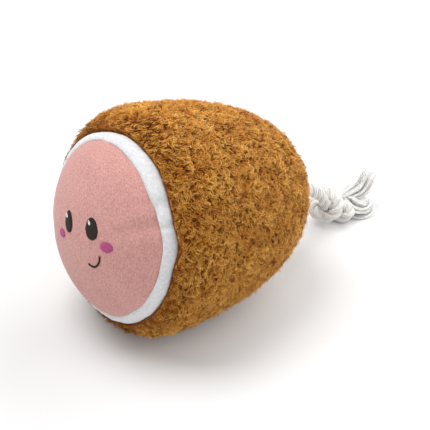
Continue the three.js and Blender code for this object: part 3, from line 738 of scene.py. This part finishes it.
# Motifs on the face. An eye's outline bulges by its brow above and by its jowl below
EYE_SPACING = 0.0226
EYE_ASIDE = -0.0013
EYE_RISE = 0.0074
EYE_WIDTH = {"left": 0.0088, "right": 0.0112}
EYE_HEIGHT = 0.014
EYE_BROW = 1.1
EYE_JOWL = 1.55
EYE_PADDING = 0.0006
GLINT_WIDTH = 0.0022
GLINT_HEIGHT = 0.0034
GLINT_ASIDE = -0.0014
GLINT_RISE = 0.0037
GLINT_SLANT = 0.5
GLINT_PADDING = 0.0004
CHEEK_SPACING = 0.0429
CHEEK_DROP = 0.0023
CHEEK_WIDTH = {"left": 0.0085, "right": 0.0106}
CHEEK_HEIGHT = {"left": 0.0055, "right": 0.0068}
CHEEK_PADDING = 0.0005
MOUTH_STROKE = 0.0015
MOUTH_SLANT = -0.35
MOUTH_PADDING = 0.0003
# The line of the smile from its left end: aside and up on the face, in millimetres
MOUTH_LINE = [(5.5, -16.3), (8, -17.3), (11, -17.1), (13.6, -15), (15.3, -12.2), (15.9, -9.2)]


def on_velour(aside, rise, height):
    """Points over the face, by its own upright axes, which are rolled on the disc."""
    level, lifted = aside + FACE_SHIFT, rise + FACE_LIFT
    x = math.cos(FACE_ROLL) * level - math.sin(FACE_ROLL) * lifted
    z = (math.sin(FACE_ROLL) * level + math.cos(FACE_ROLL) * lifted) / OVAL
    arc = np.interp(np.hypot(x, z), line_radius[: len(front_half)], front_half)
    return skin(arc, np.arctan2(x, z), height)[0]


def satin(name, rows, padding, base=0.0):
    """Rows of thread, each with its middle, its slant and half its length."""
    stitching = bmesh.new()
    longest = max(half for _, _, _, half in rows)
    for aside, rise, slant, half in rows:
        thread = bmesh.ops.create_grid(stitching, x_segments=THREAD_STEPS, y_segments=THREAD_SIDES, size=1)
        flat = np.array([vertex.co[:2] for vertex in thread["verts"]])
        along, across = flat[:, 0] * half, flat[:, 1] * THREAD_PITCH * THREAD_WIDTH
        arch = (padding * half / longest + THREAD_RISE) * (1 - flat[:, 0] ** 6) - THREAD_DIVE
        crown = THREAD_CROWN * np.sqrt(1 - 0.98 * flat[:, 1] ** 2) * (1 - flat[:, 0] ** 8)
        sideways = aside + along * math.cos(slant) - across * math.sin(slant)
        upward = rise + along * math.sin(slant) + across * math.cos(slant)
        for vertex, spot in zip(thread["verts"], on_velour(sideways, upward, base + arch + crown)):
            vertex.co = spot
    bmesh.ops.recalc_face_normals(stitching, faces=stitching.faces)
    mesh = finished(name, stitching)
    mesh.shade_smooth()
    return mesh


def filled_rows(aside, rise, height, half_width, slant):
    """Level rows that fill an outline given as its half width at a share of its height, -1 to 1."""
    rows = []
    count = round(height / THREAD_PITCH)
    for row in range(count):
        share = -1 + (2 * row + 1) / count
        off = share * height / 2
        half = half_width(share) * dice.uniform(*ROW_UNEVEN)
        rows.append((aside - off * math.sin(slant), rise + off * math.cos(slant), slant, half))
    return rows


def thread_finish(name, deep, bright):
    """Dyed thread, whose twist shows as a fine grain."""
    material, nodes, link, shader = new_finish(name, roughness=0.55, specular=0.3)
    twist = grain(nodes, link, scale=1500, detail=2)
    dye(nodes, link, shader, twist, (0.35, deep), (0.65, bright))
    emboss(nodes, link, shader, twist, depth=0.0002, strength=0.3)
    return material


dark_thread = thread_finish("dark_thread", (24, 10, 9), (46, 24, 22))
white_thread = thread_finish("white_thread", (226, 222, 220), (250, 248, 246))
cheek_thread = thread_finish("cheek_thread", (172, 66, 120), (212, 104, 156))

bezier = np.linspace(0, 1, 200)
brow_pull = 3 * (1 - bezier) ** 2 * bezier
jowl_pull = 3 * (1 - bezier) * bezier**2
eye_side = (EYE_BROW * brow_pull + EYE_JOWL * jowl_pull) / 2
eye_level = (1 - bezier) ** 3 + brow_pull - jowl_pull - bezier**3


def eye_half(share):
    return float(np.interp(-share, -eye_level, eye_side))


def embroider(node, mesh, finish):
    motif = new_piece(f"{node}_stitches", mesh, finish)
    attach(motif, "ham")
    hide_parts(node)


for side, sign in (("left", -1), ("right", 1)):
    eye_aside = sign * EYE_SPACING / 2 + EYE_ASIDE
    rows = filled_rows(eye_aside, EYE_RISE, EYE_HEIGHT, lambda share: EYE_WIDTH[side] * eye_half(share), 0)
    embroider(f"eye_{side}", satin(f"eye_{side}", rows, EYE_PADDING), dark_thread)
    rows = filled_rows(
        eye_aside + GLINT_ASIDE, EYE_RISE + GLINT_RISE, GLINT_HEIGHT,
        lambda share: GLINT_WIDTH / 2 * math.sqrt(1 - share**2) * (0.8 - 0.3 * share), GLINT_SLANT,
    )
    glint_mesh = satin(f"glint_{side}", rows, GLINT_PADDING, base=EYE_PADDING)
    embroider(f"glint_{side}", glint_mesh, white_thread)
    rows = filled_rows(
        sign * CHEEK_SPACING / 2, -CHEEK_DROP, CHEEK_HEIGHT[side],
        lambda share: CHEEK_WIDTH[side] / 2 * math.sqrt(1 - share**2), 0,
    )
    embroider(f"cheek_{side}", satin(f"cheek_{side}", rows, CHEEK_PADDING), cheek_thread)


def on_line(at, run, points):
    """Points of a line at places along its run."""
    return np.stack([np.interp(at, run, points[:, axis]) for axis in range(3)], axis=1)


def smooth_route(points, step):
    """Even steps along a smooth curve through the points, whose pull follows how far apart they are."""
    points = np.array([2 * np.array(points[0]) - points[1], *points, 2 * np.array(points[-1]) - points[-2]])
    gap = np.linalg.norm(np.diff(points, axis=0), axis=1) ** 0.5
    share = np.linspace(0, 1, 24, endpoint=False)[:, None]
    fine = []
    for i in range(1, len(points) - 2):
        before, start, end, after = points[i - 1 : i + 3]
        g0, g1, g2 = gap[i - 1 : i + 2]
        leave = ((start - before) / g0 - (end - before) / (g0 + g1) + (end - start) / g1) * g1
        arrive = ((end - start) / g1 - (after - start) / (g1 + g2) + (after - end) / g2) * g1
        bend = 2 * start - 2 * end + leave + arrive
        turn = -3 * start + 3 * end - 2 * leave - arrive
        fine.append(start + leave * share + turn * share**2 + bend * share**3)
    fine = np.concatenate([*fine, points[-2:-1]])
    run = np.concatenate([[0], np.cumsum(np.linalg.norm(np.diff(fine, axis=0), axis=1))])
    evenly = np.linspace(0, run[-1], round(run[-1] / step) + 1)
    return on_line(evenly, run, fine), evenly


smile, _ = smooth_route([(aside / 1000, up / 1000, 0) for aside, up in MOUTH_LINE], THREAD_PITCH)
rows = [
    (spot[0], spot[1], math.atan2(way[1], way[0]) + math.pi / 2 + MOUTH_SLANT, MOUTH_STROKE / 2)
    for spot, way in zip(smile, np.gradient(smile, axis=0))
]
embroider("mouth", satin("mouth", rows, MOUTH_PADDING), dark_thread)


# Rope: white cotton rope of three laid strands. Inside, it is knotted behind a patch; outside, it hangs
# from the tail to the table and lies there in an overhand knot, whose end frays.
ROPE_DIAMETER = 0.0074
NECK_DIAMETER = 0.0118
KNOT_DIAMETER = 0.0089
TURN_SPACING = 0.0079
LAY_LENGTH = 0.024
# A strand's thickness and its distance from the middle of the rope, as shares of the rope's
STRAND_SHARE = 0.485
STRAND_ASIDE = 0.52
STRAND_SIDES = 10
# It narrows to a point over its last steps, and rests on the table a little more than its radius up
STRAND_TIP = (0.1, 0.8)
STRAND_REST = 1.02
# Yarns in a strand: how many lie round it, how many cross a metre of its length, and how plain they are, in
# relief and in painted shade in their grooves
YARNS_ROUND = 9
YARNS_ALONG = 260
YARN_RIDGE = 0.35
ROPE_STEP = 0.0011
PATCH_REACH = 0.022
PATCH_DEPTH = 0.0035
ANCHOR_TAIL = 0.006
ANCHOR_GAP = 0.0003
TAIL_AT = CLOTH_LENGTH + PILE
# Stretches along the rope, from its exit or from the top of its knot, where it changes thickness or is
# parted in two pieces
NECK_SWELLS = (-0.006, 0.005)
KNOT_NARROWS = (-0.006, 0.004)
HANGS_FROM = 0.013
# The rope's way from its exit, in millimetres
NECK_ROUTE = [(0, 0, 0), (-0.3, 7, -5.2), (-0.8, 15, -11.3), (-1.4, 24, -16.9), (-1.9, 32, -22.8)]
KNOT_LEAD = [(-1.95, 35.6, -27.2), (-2, 39.2, -32.8)]
KNOT_MIDDLE = (-6, 51.5, -42)
KNOT_PITCH = math.radians(-22)
# An overhand knot, in spacings of its turns: x along the rope, z across the flat of the knot
KNOT_TURNS = [
    (-1.2, 0.5, 0), (-0.4, 0.53, 0), (0.5, 0.53, -0.02), (1.15, 0.66, -0.1), (1.62, 1.12, 0.04),
    (1.45, 1.5, 0.42), (1.1, 1.25, 0.88), (0.82, 0.62, 1.09), (0.62, -0.12, 1.07), (0.46, -0.92, 0.96),
    (0.3, -1.47, 0.5), (0.14, -1.56, -0.14), (-0.04, -1.18, -0.78), (-0.22, -0.4, -1.07),
    (-0.38, 0.4, -1.07), (-0.54, 1.2, -0.78), (-0.72, 1.58, -0.1), (-0.94, 1.42, 0.58),
    (-1.2, 0.78, 1.04), (-1.44, 0.02, 1.1), (-1.62, -0.6, 0.72), (-1.42, -0.82, 0.16),
    (-0.8, -0.6, 0), (0, -0.53, 0), (0.9, -0.53, -0.03), (1.6, -0.4, -0.14), (2.2, -0.16, -0.42),
]


def carried_sides(centres):
    """Two directions across a line at each of its points, carried along it without twisting."""
    heading = unit(np.gradient(centres, axis=0))
    side = np.cross(heading[0], (0.31, 0.2, 0.93))
    sides = []
    for ahead in heading:
        side = side - ahead * np.dot(side, ahead)
        side = side / np.linalg.norm(side)
        sides.append(side)
    sides = np.array(sides)
    return sides, np.cross(heading, sides)


def roll_yarn(bundle, round_map, centres, radii, run, sides):
    """A grid rolled round a line, with its map: the share round it, and the length along it."""
    first, second = carried_sides(centres)
    count = len(centres)
    corners = bmesh.ops.create_grid(bundle, x_segments=count - 1, y_segments=sides, size=1)["verts"]
    step_of = {vertex: index for index, vertex in enumerate(corners)}
    for vertex, index in step_of.items():
        at, corner = index % count, index // count
        angle = 2 * math.pi * (corner % sides) / sides
        vertex.co = centres[at] + radii[at] * (math.cos(angle) * first[at] + math.sin(angle) * second[at])
    for facet in {facet for vertex in corners for facet in vertex.link_faces}:
        for loop in facet.loops:
            index = step_of[loop.vert]
            loop[round_map].uv = (index // count / sides, run[index % count])


cotton, nodes, link, shader = new_finish("cotton_yarn", roughness=0.95, specular=0.1, sheen=0.2)
lay_map = nodes.new("ShaderNodeUVMap")
lay_map.uv_map = "lay"
parts = nodes.new("ShaderNodeSeparateXYZ")
link(lay_map.outputs["UV"], parts.inputs[0])
round_turns = reckon(nodes, link, "MULTIPLY", parts.outputs["X"], 2 * math.pi * YARNS_ROUND)
slanted = reckon(nodes, link, "MULTIPLY_ADD", parts.outputs["Y"], -2 * math.pi * YARNS_ALONG, round_turns)
ridges = reckon(nodes, link, "SINE", slanted)
fuzz = grain(nodes, link, scale=900, detail=4)
fuzz_and_groove_shade = reckon(nodes, link, "MULTIPLY_ADD", ridges, YARN_RIDGE, fuzz)
# The grooves between the yarns are painted darker than their crests: painted shade, on the same ridges as
# the relief, with a random fuzz
dye(nodes, link, shader, fuzz_and_groove_shade, (0.1, (214, 211, 204)), (0.75, (249, 248, 246)))
emboss(nodes, link, shader, fuzz_and_groove_shade, depth=0.0005, strength=0.6)

patch_arc = cloth_arc - PATCH_REACH
patch_radius, past_radius = np.interp((patch_arc, patch_arc + SLOPE_STEP), line_arc, line_radius)
patch_slope = (past_radius - patch_radius) / SLOPE_STEP
patch_edge = float(np.interp(patch_arc, line_arc, line_depth) + PATCH_DEPTH * patch_slope)
turns = np.array(KNOT_TURNS) * TURN_SPACING
anchor_at = patch_edge - ANCHOR_GAP - (np.abs(turns[:, 0]).max() + ROPE_DIAMETER / 2)
anchor_turns = [Vector((y, anchor_at - x, z)) for x, y, z in turns]
anchor_route = [anchor_turns[-1] - Vector((0, ANCHOR_TAIL, 0)), *reversed(anchor_turns)]
anchor_route += [Vector((0, along, 0)) for along in (patch_edge, TAIL_AT - ROPE_DIAMETER, TAIL_AT)]
knot_place = Matrix.Translation(Vector(KNOT_MIDDLE) / 1000) @ Matrix.Rotation(KNOT_PITCH, 4, "X")
outside_route = [Vector(point) / 1000 for point in NECK_ROUTE + KNOT_LEAD]
outside_route += [knot_place @ Vector((y, x, -z)) for x, y, z in turns]
inside = [np.array(body_place @ point) for point in anchor_route]
outside = [np.array(rope_exit + point) for point in outside_route]
rope_line, rope_run = smooth_route(inside + outside, ROPE_STEP)
exit_step = int(np.argmin(np.linalg.norm(rope_line - np.array(rope_exit), axis=1)))
lift_step = int(np.argmin(np.linalg.norm(rope_line - np.array(joint_at["knot_lift"]), axis=1)))
from_exit = rope_run - rope_run[exit_step]
from_lift = rope_run - rope_run[lift_step]
neck_size = np.interp(from_exit, NECK_SWELLS, (ROPE_DIAMETER, NECK_DIAMETER))
knot_size = np.interp(from_lift, KNOT_NARROWS, (NECK_DIAMETER, KNOT_DIAMETER))
rope_size = np.where(from_lift > KNOT_NARROWS[0], knot_size, neck_size)
side_one, side_two = carried_sides(rope_line)


def laid_rope(name, first, last):
    """The three strands of the rope between two of its steps. They lie on the table and end in a point."""
    bundle = bmesh.new()
    round_map = bundle.loops.layers.uv.new("lay")
    for strand in range(3):
        phase = (2 * math.pi * (rope_run / LAY_LENGTH + strand / 3))[:, None]
        offset = STRAND_ASIDE * rope_size[:, None] / 2
        centres = rope_line + offset * (np.cos(phase) * side_one + np.sin(phase) * side_two)
        radii = STRAND_SHARE * rope_size / 2
        centres[:, 2] = np.maximum(centres[:, 2], STRAND_REST * radii)
        for step, narrowed in enumerate(STRAND_TIP):
            radii[[step, -1 - step]] *= narrowed
        part = slice(first, last)
        roll_yarn(bundle, round_map, centres[part], radii[part], rope_run[part], STRAND_SIDES)
    return new_piece(name, welded(name, bundle, within=1e-6), cotton)


hang_step = int(np.argmin(np.abs(from_exit - HANGS_FROM)))
rope_root = laid_rope("rope_root", 0, hang_step + 1)
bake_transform(rope_root)
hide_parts("rope_anchor")
rope_tail = laid_rope("rope_tail", hang_step, len(rope_line))
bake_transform(rope_tail)
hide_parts("rope_neck", "rope_knot")


# Frayed ends: past the knot the rope's strands are undone into loose cotton yarns. They fan out in three
# bunches, one lying on the table, one beside it and one standing up.
# Yarns of a bunch: their lengths as shares of its line, how they turn round it, wave and narrow
YARNS = 24
YARN_RADIUS = 0.00105
YARN_SIDES = 7
YARN_STEPS = 14
YARN_LENGTH = (0.8, 1)
YARN_SPIN = 2.4
YARN_WAVES = (1.4, 2.4)
WAVE_HEIGHT = (0.0003, 0.0009)
YARN_TAPER = 0.3
YARN_TIP = 0.25
YARN_REST = 1.05
# Single fibres that have come loose of the yarns
LOOSE_FIBRES = 40
LOOSE_RADIUS = 0.00018
LOOSE_SIDES = 3
LOOSE_LENGTH = (0.85, 1.04)
LOOSE_OUT = (0.4, 1.2)
# A bunch starts this far inside the knot, in millimetres, back from the place of its joint
BUNCH_ROOT = 5
BUNCH_RADIUS = 0.0018
BUNCH_LENGTH = 0.03
BUNCH_STEP = 0.0005
# The line that each bunch follows from its root, in millimetres, its swelling and the spread of its tips
BUNCHES = {
    "top": ([(0, 0, 0), (2.3, 5.9, 2), (4.7, 11.7, 6), (5.7, 16.1, 13), (6.3, 18.3, 20)], 0.0035, 0.005),
    "right": ([(0, 0, 0), (6, 0.5, -3.5), (11, 4.5, -4.5), (12, 10.5, -3), (11.5, 13.5, 2)],
              0.0062, 0.0015),
    "left": ([(0, 0, 0), (0.3, 6, 2), (0.8, 12, 2.8), (1.8, 18, 1.4), (3.2, 23, -1.6)], 0.0048, 0.0045),
}

frayed, nodes, link, shader = new_finish("frayed_cotton", roughness=1, specular=0.05, sheen=0.3)
lint = grain(nodes, link, scale=700, detail=4)
dye(nodes, link, shader, lint, (0.3, (236, 234, 229)), (0.6, (253, 252, 250)))
shader.inputs["Subsurface Weight"].default_value = 0.6
shader.inputs["Subsurface Radius"].default_value = (1, 1, 1)
shader.inputs["Subsurface Scale"].default_value = 0.0025

for side, (route, swell, spread) in BUNCHES.items():
    root = joint_at[f"tassel_{side}_flop"]
    into_knot = -Vector(route[1]).normalized() * BUNCH_ROOT
    spots = [np.array(root) + np.array(spot) / 1000 for spot in (into_knot, *route)]
    spine, _ = smooth_route(spots, BUNCH_STEP)
    share = np.linspace(0, 1, YARN_STEPS)
    bundle = bmesh.new()
    round_map = bundle.loops.layers.uv.new("lay")
    for yarn in range(YARNS + LOOSE_FIBRES):
        loose = yarn >= YARNS
        thick, sides = (LOOSE_RADIUS, LOOSE_SIDES) if loose else (YARN_RADIUS, YARN_SIDES)
        out = dice.uniform(*LOOSE_OUT) if loose else math.sqrt((yarn + 0.5) / YARNS)
        spin = YARN_SPIN * yarn + dice.uniform(0, 0.6)
        length = dice.uniform(*(LOOSE_LENGTH if loose else YARN_LENGTH))
        steps = share * length * (len(spine) - 1)
        centres = on_line(steps, np.arange(len(spine)), spine)
        level, upper = carried_sides(centres)
        bow = out * (BUNCH_RADIUS + swell * np.sin(math.pi * share**0.8) + spread * share**2)
        wave_at = share * dice.uniform(*YARN_WAVES) + dice.uniform(0, 1)
        waves = dice.uniform(*WAVE_HEIGHT) * share * np.sin(2 * math.pi * wave_at)
        aside = bow * math.cos(spin) + waves
        above = bow * math.sin(spin) - waves
        centres = centres + level * aside[:, None] + upper * above[:, None]
        centres[:, 2] = np.maximum(centres[:, 2], thick * YARN_REST)
        radii = thick * (1 - YARN_TAPER * share) * np.where(share < 1, 1, YARN_TIP)
        roll_yarn(bundle, round_map, centres, radii, share * BUNCH_LENGTH, sides)
    bunch_mesh = welded(f"tassel_{side}", bundle, within=1e-6)
    bunch = new_piece(f"tassel_{side}_yarns", bunch_mesh, frayed)
    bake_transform(bunch)
    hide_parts(f"tassel_{side}")


# Stuffing: loose white polyester fibre, pushed in as an upper and a lower pad round the squeaker and the
# rope's stopper knot. Each pad starts slack and swells until it fills its half of the cover.
PAD_VOXEL = 0.004
PAD_SLACK = 0.0022
PAD_LUMPS = 0.0008
PAD_LUMP_SIZE = 0.012
PAD_PRESSURE = 4
PAD_FRAMES = 20

filling, nodes, link, shader = new_finish("polyester_filling", roughness=1)
wisps = grain(nodes, link, scale=240, detail=6)
dye(nodes, link, shader, wisps, (0, (222, 222, 216)), (1, (250, 250, 247)))
emboss(nodes, link, shader, wisps, depth=0.001)

for half in ("upper", "lower"):
    shape = bmesh.new()
    shape.from_mesh(frame["nodes"][f"stuffing_{half}"].data)
    bmesh.ops.remove_doubles(shape, verts=shape.verts, dist=1e-6)
    pad = new_piece(f"stuffing_pad_{half}", finished(f"stuffing_{half}", shape), filling)
    even = pad.modifiers.new("even", "REMESH")
    even.mode = "VOXEL"
    even.voxel_size = PAD_VOXEL
    bpy.context.view_layer.update()
    evened = bpy.data.meshes.new_from_object(pad.evaluated_get(bpy.context.evaluated_depsgraph_get()))
    pad.modifiers.clear()
    pad.data = evened
    evened.materials.clear()
    evened.materials.append(filling)
    evened.shade_smooth()
    spots = np.zeros(len(evened.vertices) * 3)
    evened.vertices.foreach_get("co", spots)
    outwards = np.zeros(len(evened.vertices) * 3)
    evened.vertices.foreach_get("normal", outwards)
    spots = spots.reshape(-1, 3)
    sunk = PAD_SLACK + PAD_LUMPS * swirl(spots, PAD_LUMP_SIZE, 3)
    slack = spots - outwards.reshape(-1, 3) * sunk[:, None]
    evened.vertices.foreach_set("co", slack.ravel())
    swelling = pad.modifiers.new("swelling", "CLOTH")
    swelling.settings.use_pressure = True
    swelling.settings.uniform_pressure_force = PAD_PRESSURE
    swelling.settings.effector_weights.gravity = 0
    swelling.point_cache.frame_end = PAD_FRAMES
    for step in range(1, PAD_FRAMES + 1):
        scene.frame_set(step)
    swollen = np.zeros(slack.size)
    evaluated = pad.evaluated_get(bpy.context.evaluated_depsgraph_get())
    evaluated.data.vertices.foreach_get("co", swollen)
    moved = swollen.reshape(-1, 3) - slack
    moved *= np.minimum(1, PAD_SLACK / (np.linalg.norm(moved, axis=1, keepdims=True) + 1e-9))
    pad.modifiers.clear()
    scene.frame_set(1)
    evened.vertices.foreach_set("co", (slack + moved).ravel())
    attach(pad, "ham")
    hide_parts(f"stuffing_{half}")


# Seam tapes and rope patch: plain woven cotton tape folded over the turned-in edges of each seam inside the
# cover, and a round patch of the same cloth, stitched in circles, that the rope's stopper knot pulls on.
TAPE_STEPS = 120
SEAM_MARGIN = 0.01
PATCH_FACE = 0.0015
PATCH_HOLE = 0.0043
PATCH_ROWS = 40
PATCH_STITCH = 0.00022
PATCH_CIRCLES = 0.0035
# The folded tape in section: across the seam and down from the cloth, in millimetres
TAPE_SECTION = [
    (-2.4, 2.4), (-2.4, 5.1), (-2.2, 5.6), (-1.7, 5.85), (1.7, 5.85), (2.2, 5.6), (2.4, 5.1), (2.4, 2.4),
    (1.85, 2.4), (1.85, 4.9), (1.6, 5.25), (-1.6, 5.25), (-1.85, 4.9), (-1.85, 2.4), (-2.4, 2.4),
]

tape_weave, nodes, link, shader = new_finish("cotton_tape", roughness=0.9)
place = nodes.new("ShaderNodeTexCoord")
weave = nodes.new("ShaderNodeTexChecker")
weave.inputs["Scale"].default_value = 1600
weave.inputs["Color1"].default_value = linear(206, 199, 186)
weave.inputs["Color2"].default_value = linear(226, 220, 209)
link(place.outputs["Object"], weave.inputs["Vector"])
link(weave.outputs["Color"], shader.inputs["Base Color"])
emboss(nodes, link, shader, weave.outputs["Fac"], depth=0.0002)


def sewn_tape(node, arcs, angles, depths):
    """A closed section carried along a seam, by its arcs, angles and depths at each step and corner."""
    strip = bmesh.new()
    spots, _ = skin(arcs, angles, -depths)
    steps, corners = spots.shape[:2]
    grid = bmesh.ops.create_grid(strip, x_segments=corners - 1, y_segments=steps - 1, size=1)["verts"]
    for vertex, spot in zip(grid, spots.reshape(-1, 3)):
        vertex.co = spot
    bmesh.ops.remove_doubles(strip, verts=strip.verts, dist=1e-6)
    bmesh.ops.holes_fill(strip, edges=[edge for edge in strip.edges if edge.is_boundary], sides=0)
    bmesh.ops.recalc_face_normals(strip, faces=strip.faces)
    tape = new_piece(f"{node}_tape", finished(f"{node}_tape", strip), tape_weave)
    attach(tape, "ham")
    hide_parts(node)


tape_across, tape_depths = (np.array(TAPE_SECTION) / 1000).T
around = np.linspace(0, 2 * math.pi, TAPE_STEPS + 1)[:, None]
face_line = face_arc + strayed(around, FACE_SEAM_STRAY)
ring_line = fur_start(around)
sewn_tape("face_seam", face_line + tape_across, around, tape_depths)
sewn_tape("ring_seam", ring_line + tape_across, around, tape_depths)
seam_run = np.linspace(fur_arc + SEAM_MARGIN, patch_arc - SEAM_MARGIN, TAPE_STEPS // 2)[:, None]
tape_turn = tape_across / np.interp(seam_run, line_arc, line_radius)
for quarter, side in enumerate(("upper_right", "lower_right", "lower_left", "upper_left")):
    sewn_tape(f"panel_seam_{side}", seam_run, math.pi / 4 + quarter * math.pi / 2 + tape_turn, tape_depths)
patch_rows = np.linspace(patch_arc, cloth_arc - PATCH_HOLE, PATCH_ROWS)
quilting = PATCH_STITCH * np.sin(2 * math.pi * (patch_rows - patch_arc) / PATCH_CIRCLES) ** 2
outer_face = PATCH_FACE + quilting
inner_face = PATCH_DEPTH - quilting[::-1]
patch_arcs = np.concatenate([patch_rows, patch_rows[::-1], patch_rows[:1]])
patch_depths = np.concatenate([outer_face, inner_face, outer_face[:1]])
sewn_tape("anchor_patch", patch_arcs, around, patch_depths)


# Squeaker: a moulded soft-plastic capsule of two cups with a thin bellows between them, which folds up
# when the upper cup is squeezed down, and a reed in a holder in the lower cup.
BELLOWS_FOLDS = 3
BELLOWS_DEPTH = 0.0035
BELLOWS_WALL = 0.001
BELLOWS_STEPS = 36
CUP_WALL = 0.0012
CUP_CORNER = 0.004
CORNER_STEPS = 9
REED_HOLE = 0.0059
TURNED_STEPS = 64
SHARP_FROM = math.radians(40)
# The reed's holder in section: out from its axis and up from the bottom of the cup, in millimetres
HOLDER_SECTION = [(4, 0), (5.6, 0), (5.6, 1.5), (8.1, 1.5), (8.1, 2.75), (5.6, 2.75), (5.6, 9), (4, 9)]

soft_plastic, nodes, link, shader = new_finish("squeaker_plastic", roughness=0.42)
mould = grain(nodes, link, scale=300, detail=3)
dye(nodes, link, shader, mould, (0, (224, 219, 205)), (1, (238, 235, 226)))
emboss(nodes, link, shader, mould, depth=0.0002, strength=0.2)
frame["nodes"]["squeaker_reed"].data.materials.clear()
frame["nodes"]["squeaker_reed"].data.materials.append(soft_plastic)


def turned_plastic(node, section, foot, way=1):
    """A moulded piece turned about an upright line through its foot, by radii and heights in section."""
    capsule = bmesh.new()
    corners = [capsule.verts.new(foot + Vector((radius, 0, way * height))) for radius, height in section]
    outline = [capsule.edges.new(pair) for pair in zip(corners, corners[1:] + corners[:1])]
    bmesh.ops.spin(
        capsule, geom=corners + outline, cent=foot, axis=(0, 0, 1),
        angle=2 * math.pi, steps=TURNED_STEPS, use_merge=True,
    )
    bmesh.ops.remove_doubles(capsule, verts=capsule.verts, dist=1e-7)
    on_axis = [edge for edge in capsule.edges if not edge.link_faces]
    bmesh.ops.delete(capsule, geom=on_axis, context="EDGES")
    bmesh.ops.recalc_face_normals(capsule, faces=capsule.faces)
    mesh = finished(f"{node}_wall", capsule)
    mesh.shade_smooth()
    mesh.set_sharp_from_angle(angle=SHARP_FROM)
    piece = new_piece(f"{node}_wall", mesh, soft_plastic)
    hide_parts(node)
    return piece


def cup_section(radius, tall, hole):
    """A cup from its lip to its floor, which is rounded at the corner and may have a hole in the middle."""
    bends = np.linspace(0, math.pi / 2, CORNER_STEPS)
    corner = np.array([(math.cos(bend), math.sin(bend)) for bend in bends])
    centre = np.array((radius - CUP_CORNER, tall - CUP_CORNER))
    outer = centre + CUP_CORNER * corner
    inner = centre + (CUP_CORNER - CUP_WALL) * corner[::-1]
    return [(radius, 0), *outer, (hole, tall), (hole, tall - CUP_WALL), *inner, (radius - CUP_WALL, 0)]


low_cup, high_cup, folds = (
    [Vector(corner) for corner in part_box(f"squeaker_{part}")] for part in ("base", "top", "bellows")
)
foot = (low_cup[0] + low_cup[1]) / 2
foot.z = low_cup[0].z
cup_radius = (low_cup[1].x - low_cup[0].x) / 2
cup_height = low_cup[1].z - low_cup[0].z
lip, high_lip, folds_foot, folds_head = (
    Vector((foot.x, foot.y, level)) for level in (low_cup[1].z, high_cup[0].z, folds[0].z, folds[1].z)
)
base = turned_plastic("squeaker_base", cup_section(cup_radius, cup_height, REED_HOLE), lip, -1)
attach(base, "ham")
holder_section = [(out / 1000, up / 1000) for out, up in HOLDER_SECTION]
holder = turned_plastic("squeaker_reed_holder", holder_section, foot)
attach(holder, "ham")
rows = np.linspace(0, 1, BELLOWS_STEPS)
outside_wall = cup_radius - BELLOWS_DEPTH * np.sin(math.pi * BELLOWS_FOLDS * rows) ** 2
heights = rows * (folds_head - folds_foot).length
wall = [*zip(outside_wall, heights), *zip(outside_wall[::-1] - BELLOWS_WALL, heights[::-1])]
bellows = turned_plastic("squeaker_bellows", wall, folds_foot)
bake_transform(bellows)
top = turned_plastic("squeaker_top", cup_section(cup_radius, cup_height, 0), high_lip)
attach(top, "squeaker_cap")
